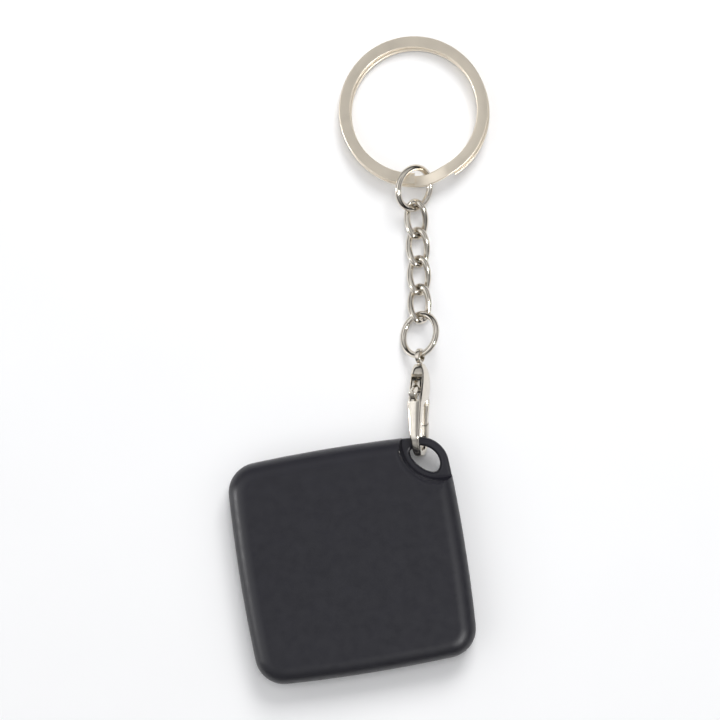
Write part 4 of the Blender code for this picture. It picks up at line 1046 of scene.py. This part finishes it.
dress(swivel_eye(), PLATED, "swivel", ["swivel_eye"], swivel_frame)

frames = chain_frames(swivel_frame)
dress(jump_ring("lower_wire_ring", LOWER_JUMP_CUT_AT), PLATED, "lower_ring",
      ["lower_jump_ring"], frames["lower_ring"])
for number in range(len(LINK_PITCH), 0, -1):
    dress(link(f"curb_link_{number}"), PLATED, f"link_{number}",
          [f"chain_link_{number}"], frames[f"link_{number}"])
dress(jump_ring("upper_wire_ring", UPPER_JUMP_CUT_AT), PLATED, "upper_ring",
      ["upper_jump_ring"], frames["upper_ring"])
dress(split_ring("flat_key_ring"), RING, "split_ring", ["key_ring"],
      frames["split_ring"], sharp=50.0)

NODE_LOOKS = {
    "rear_cover": COVER,
    "battery_door": DOOR,
    "door_seal": plain_finish("seal_rubber_look", (0.020, 0.020, 0.020), 0.75, 0.0),
    "coin_cell": plain_finish("cell_steel_look", (0.62, 0.62, 0.60), 0.30, 1.0),
    "circuit_board": plain_finish("board_laminate_look", (0.012, 0.075, 0.030), 0.50, 0.0),
    "clock_crystal": plain_finish("crystal_can_look", (0.60, 0.60, 0.58), 0.30, 1.0),
    "sounder_diaphragm": plain_finish("sounder_brass_look", (0.72, 0.53, 0.22), 0.35, 1.0),
    "switch_plunger": COVER,
}
CHIP = plain_finish("chip_epoxy_look", (0.015, 0.015, 0.016), 0.55, 0.0)
CERAMIC = plain_finish("capacitor_ceramic_look", (0.32, 0.21, 0.12), 0.60, 0.0)
CONTACT = plain_finish("contact_spring_look", (0.70, 0.62, 0.42), 0.30, 1.0)
for name in ("switch_body", "radio_chip", "motion_sensor", "sounder_case"):
    NODE_LOOKS[name] = CHIP
for name in ("chip_antenna", "capacitor_1", "capacitor_2", "capacitor_3"):
    NODE_LOOKS[name] = CERAMIC
for name in ("positive_contact", "negative_contact"):
    NODE_LOOKS[name] = CONTACT
for name, material in NODE_LOOKS.items():
    finish_node(name, material)


# ---------------------------------------------------------------- stage
def make_floor():
    bm = bmesh.new()
    bmesh.ops.create_grid(bm, x_segments=2, y_segments=2, size=FLOOR_HALF)
    floor = piece("floor", mesh_of("floor", bm))
    finish = Finish("floor_paper", (0.93, 0.93, 0.935), 0.85, specular=0.1)
    finish.mottle(finish.noise(40.0, 3.0), 0.006)
    floor.data.materials.append(finish.material)


def area_light(name, place, size, power, highlight):
    """A square soft lamp: a highlight lamp shows as gloss alone, the others light alone."""
    data = bpy.data.lights.new(name, "AREA")
    data.energy = power
    data.shape = "SQUARE"
    data.size = size
    obj = bpy.data.objects.new(name, data)
    obj.location = place
    aim = Vector(LAMP_AIM) - Vector(place)
    obj.rotation_euler = aim.to_track_quat("-Z", "Y").to_euler()
    obj.visible_glossy = highlight
    obj.visible_diffuse = not highlight
    bpy.context.scene.collection.objects.link(obj)


def make_world():
    """A light tent: bright walls that fade by TENT_FADES, a dim top and a dark horizon."""
    world = bpy.data.worlds.new("studio")
    bpy.context.scene.world = world
    world.use_nodes = True
    tree = world.node_tree
    background = tree.nodes["Background"]
    background.inputs["Color"].default_value = TENT_COLOUR
    coordinates = tree.nodes.new("ShaderNodeTexCoord")
    split = tree.nodes.new("ShaderNodeSeparateXYZ")
    tree.links.new(coordinates.outputs["Generated"], split.inputs["Vector"])
    height = tree.nodes.new("ShaderNodeFloatCurve")
    curve = height.mapping.curves[0]
    for i, (at, level) in enumerate(TENT_LEVELS):
        if i in (0, len(TENT_LEVELS) - 1):
            curve.points[-1 if i else 0].location = (at, level)
        else:
            curve.points.new(at, level)
    height.mapping.update()
    tree.links.new(split.outputs["Z"], height.inputs["Value"])
    wall = height.outputs["Value"]
    for axis, start, end, first, last in TENT_FADES:
        fade = tree.nodes.new("ShaderNodeMapRange")
        fade.inputs["From Min"].default_value = start
        fade.inputs["From Max"].default_value = end
        fade.inputs["To Min"].default_value = first
        fade.inputs["To Max"].default_value = last
        tree.links.new(split.outputs[axis], fade.inputs["Value"])
        shade = tree.nodes.new("ShaderNodeMath")
        shade.operation = "MULTIPLY"
        tree.links.new(wall, shade.inputs[0])
        tree.links.new(fade.outputs["Result"], shade.inputs[1])
        wall = shade.outputs["Value"]
    level = tree.nodes.new("ShaderNodeMath")
    level.operation = "MULTIPLY"
    level.inputs[1].default_value = TENT_STRENGTH
    tree.links.new(wall, level.inputs[0])
    tree.links.new(level.outputs["Value"], background.inputs["Strength"])


def make_camera():
    data = bpy.data.cameras.new("camera")
    data.sensor_width = SENSOR_WIDTH
    data.lens = SENSOR_WIDTH * (VIEW_HEIGHT - FOCUS_PLANE) / VIEW_WIDTH
    data.clip_start = CLIP_START
    camera = bpy.data.objects.new("camera", data)
    up = Vector((*VIEW_UP, 0.0)).normalized()
    side = up.cross(Vector((0, 0, 1)))
    turn = Matrix((side, up, Vector((0, 0, 1)))).transposed().to_4x4()
    camera.matrix_world = Matrix.Translation((*VIEW_CENTRE, VIEW_HEIGHT)) @ turn
    bpy.context.scene.collection.objects.link(camera)
    bpy.context.scene.camera = camera


make_floor()
make_world()
make_camera()
for lamp in LAMPS:
    area_light(*lamp)
bpy.context.scene.view_settings.view_transform = "Standard"
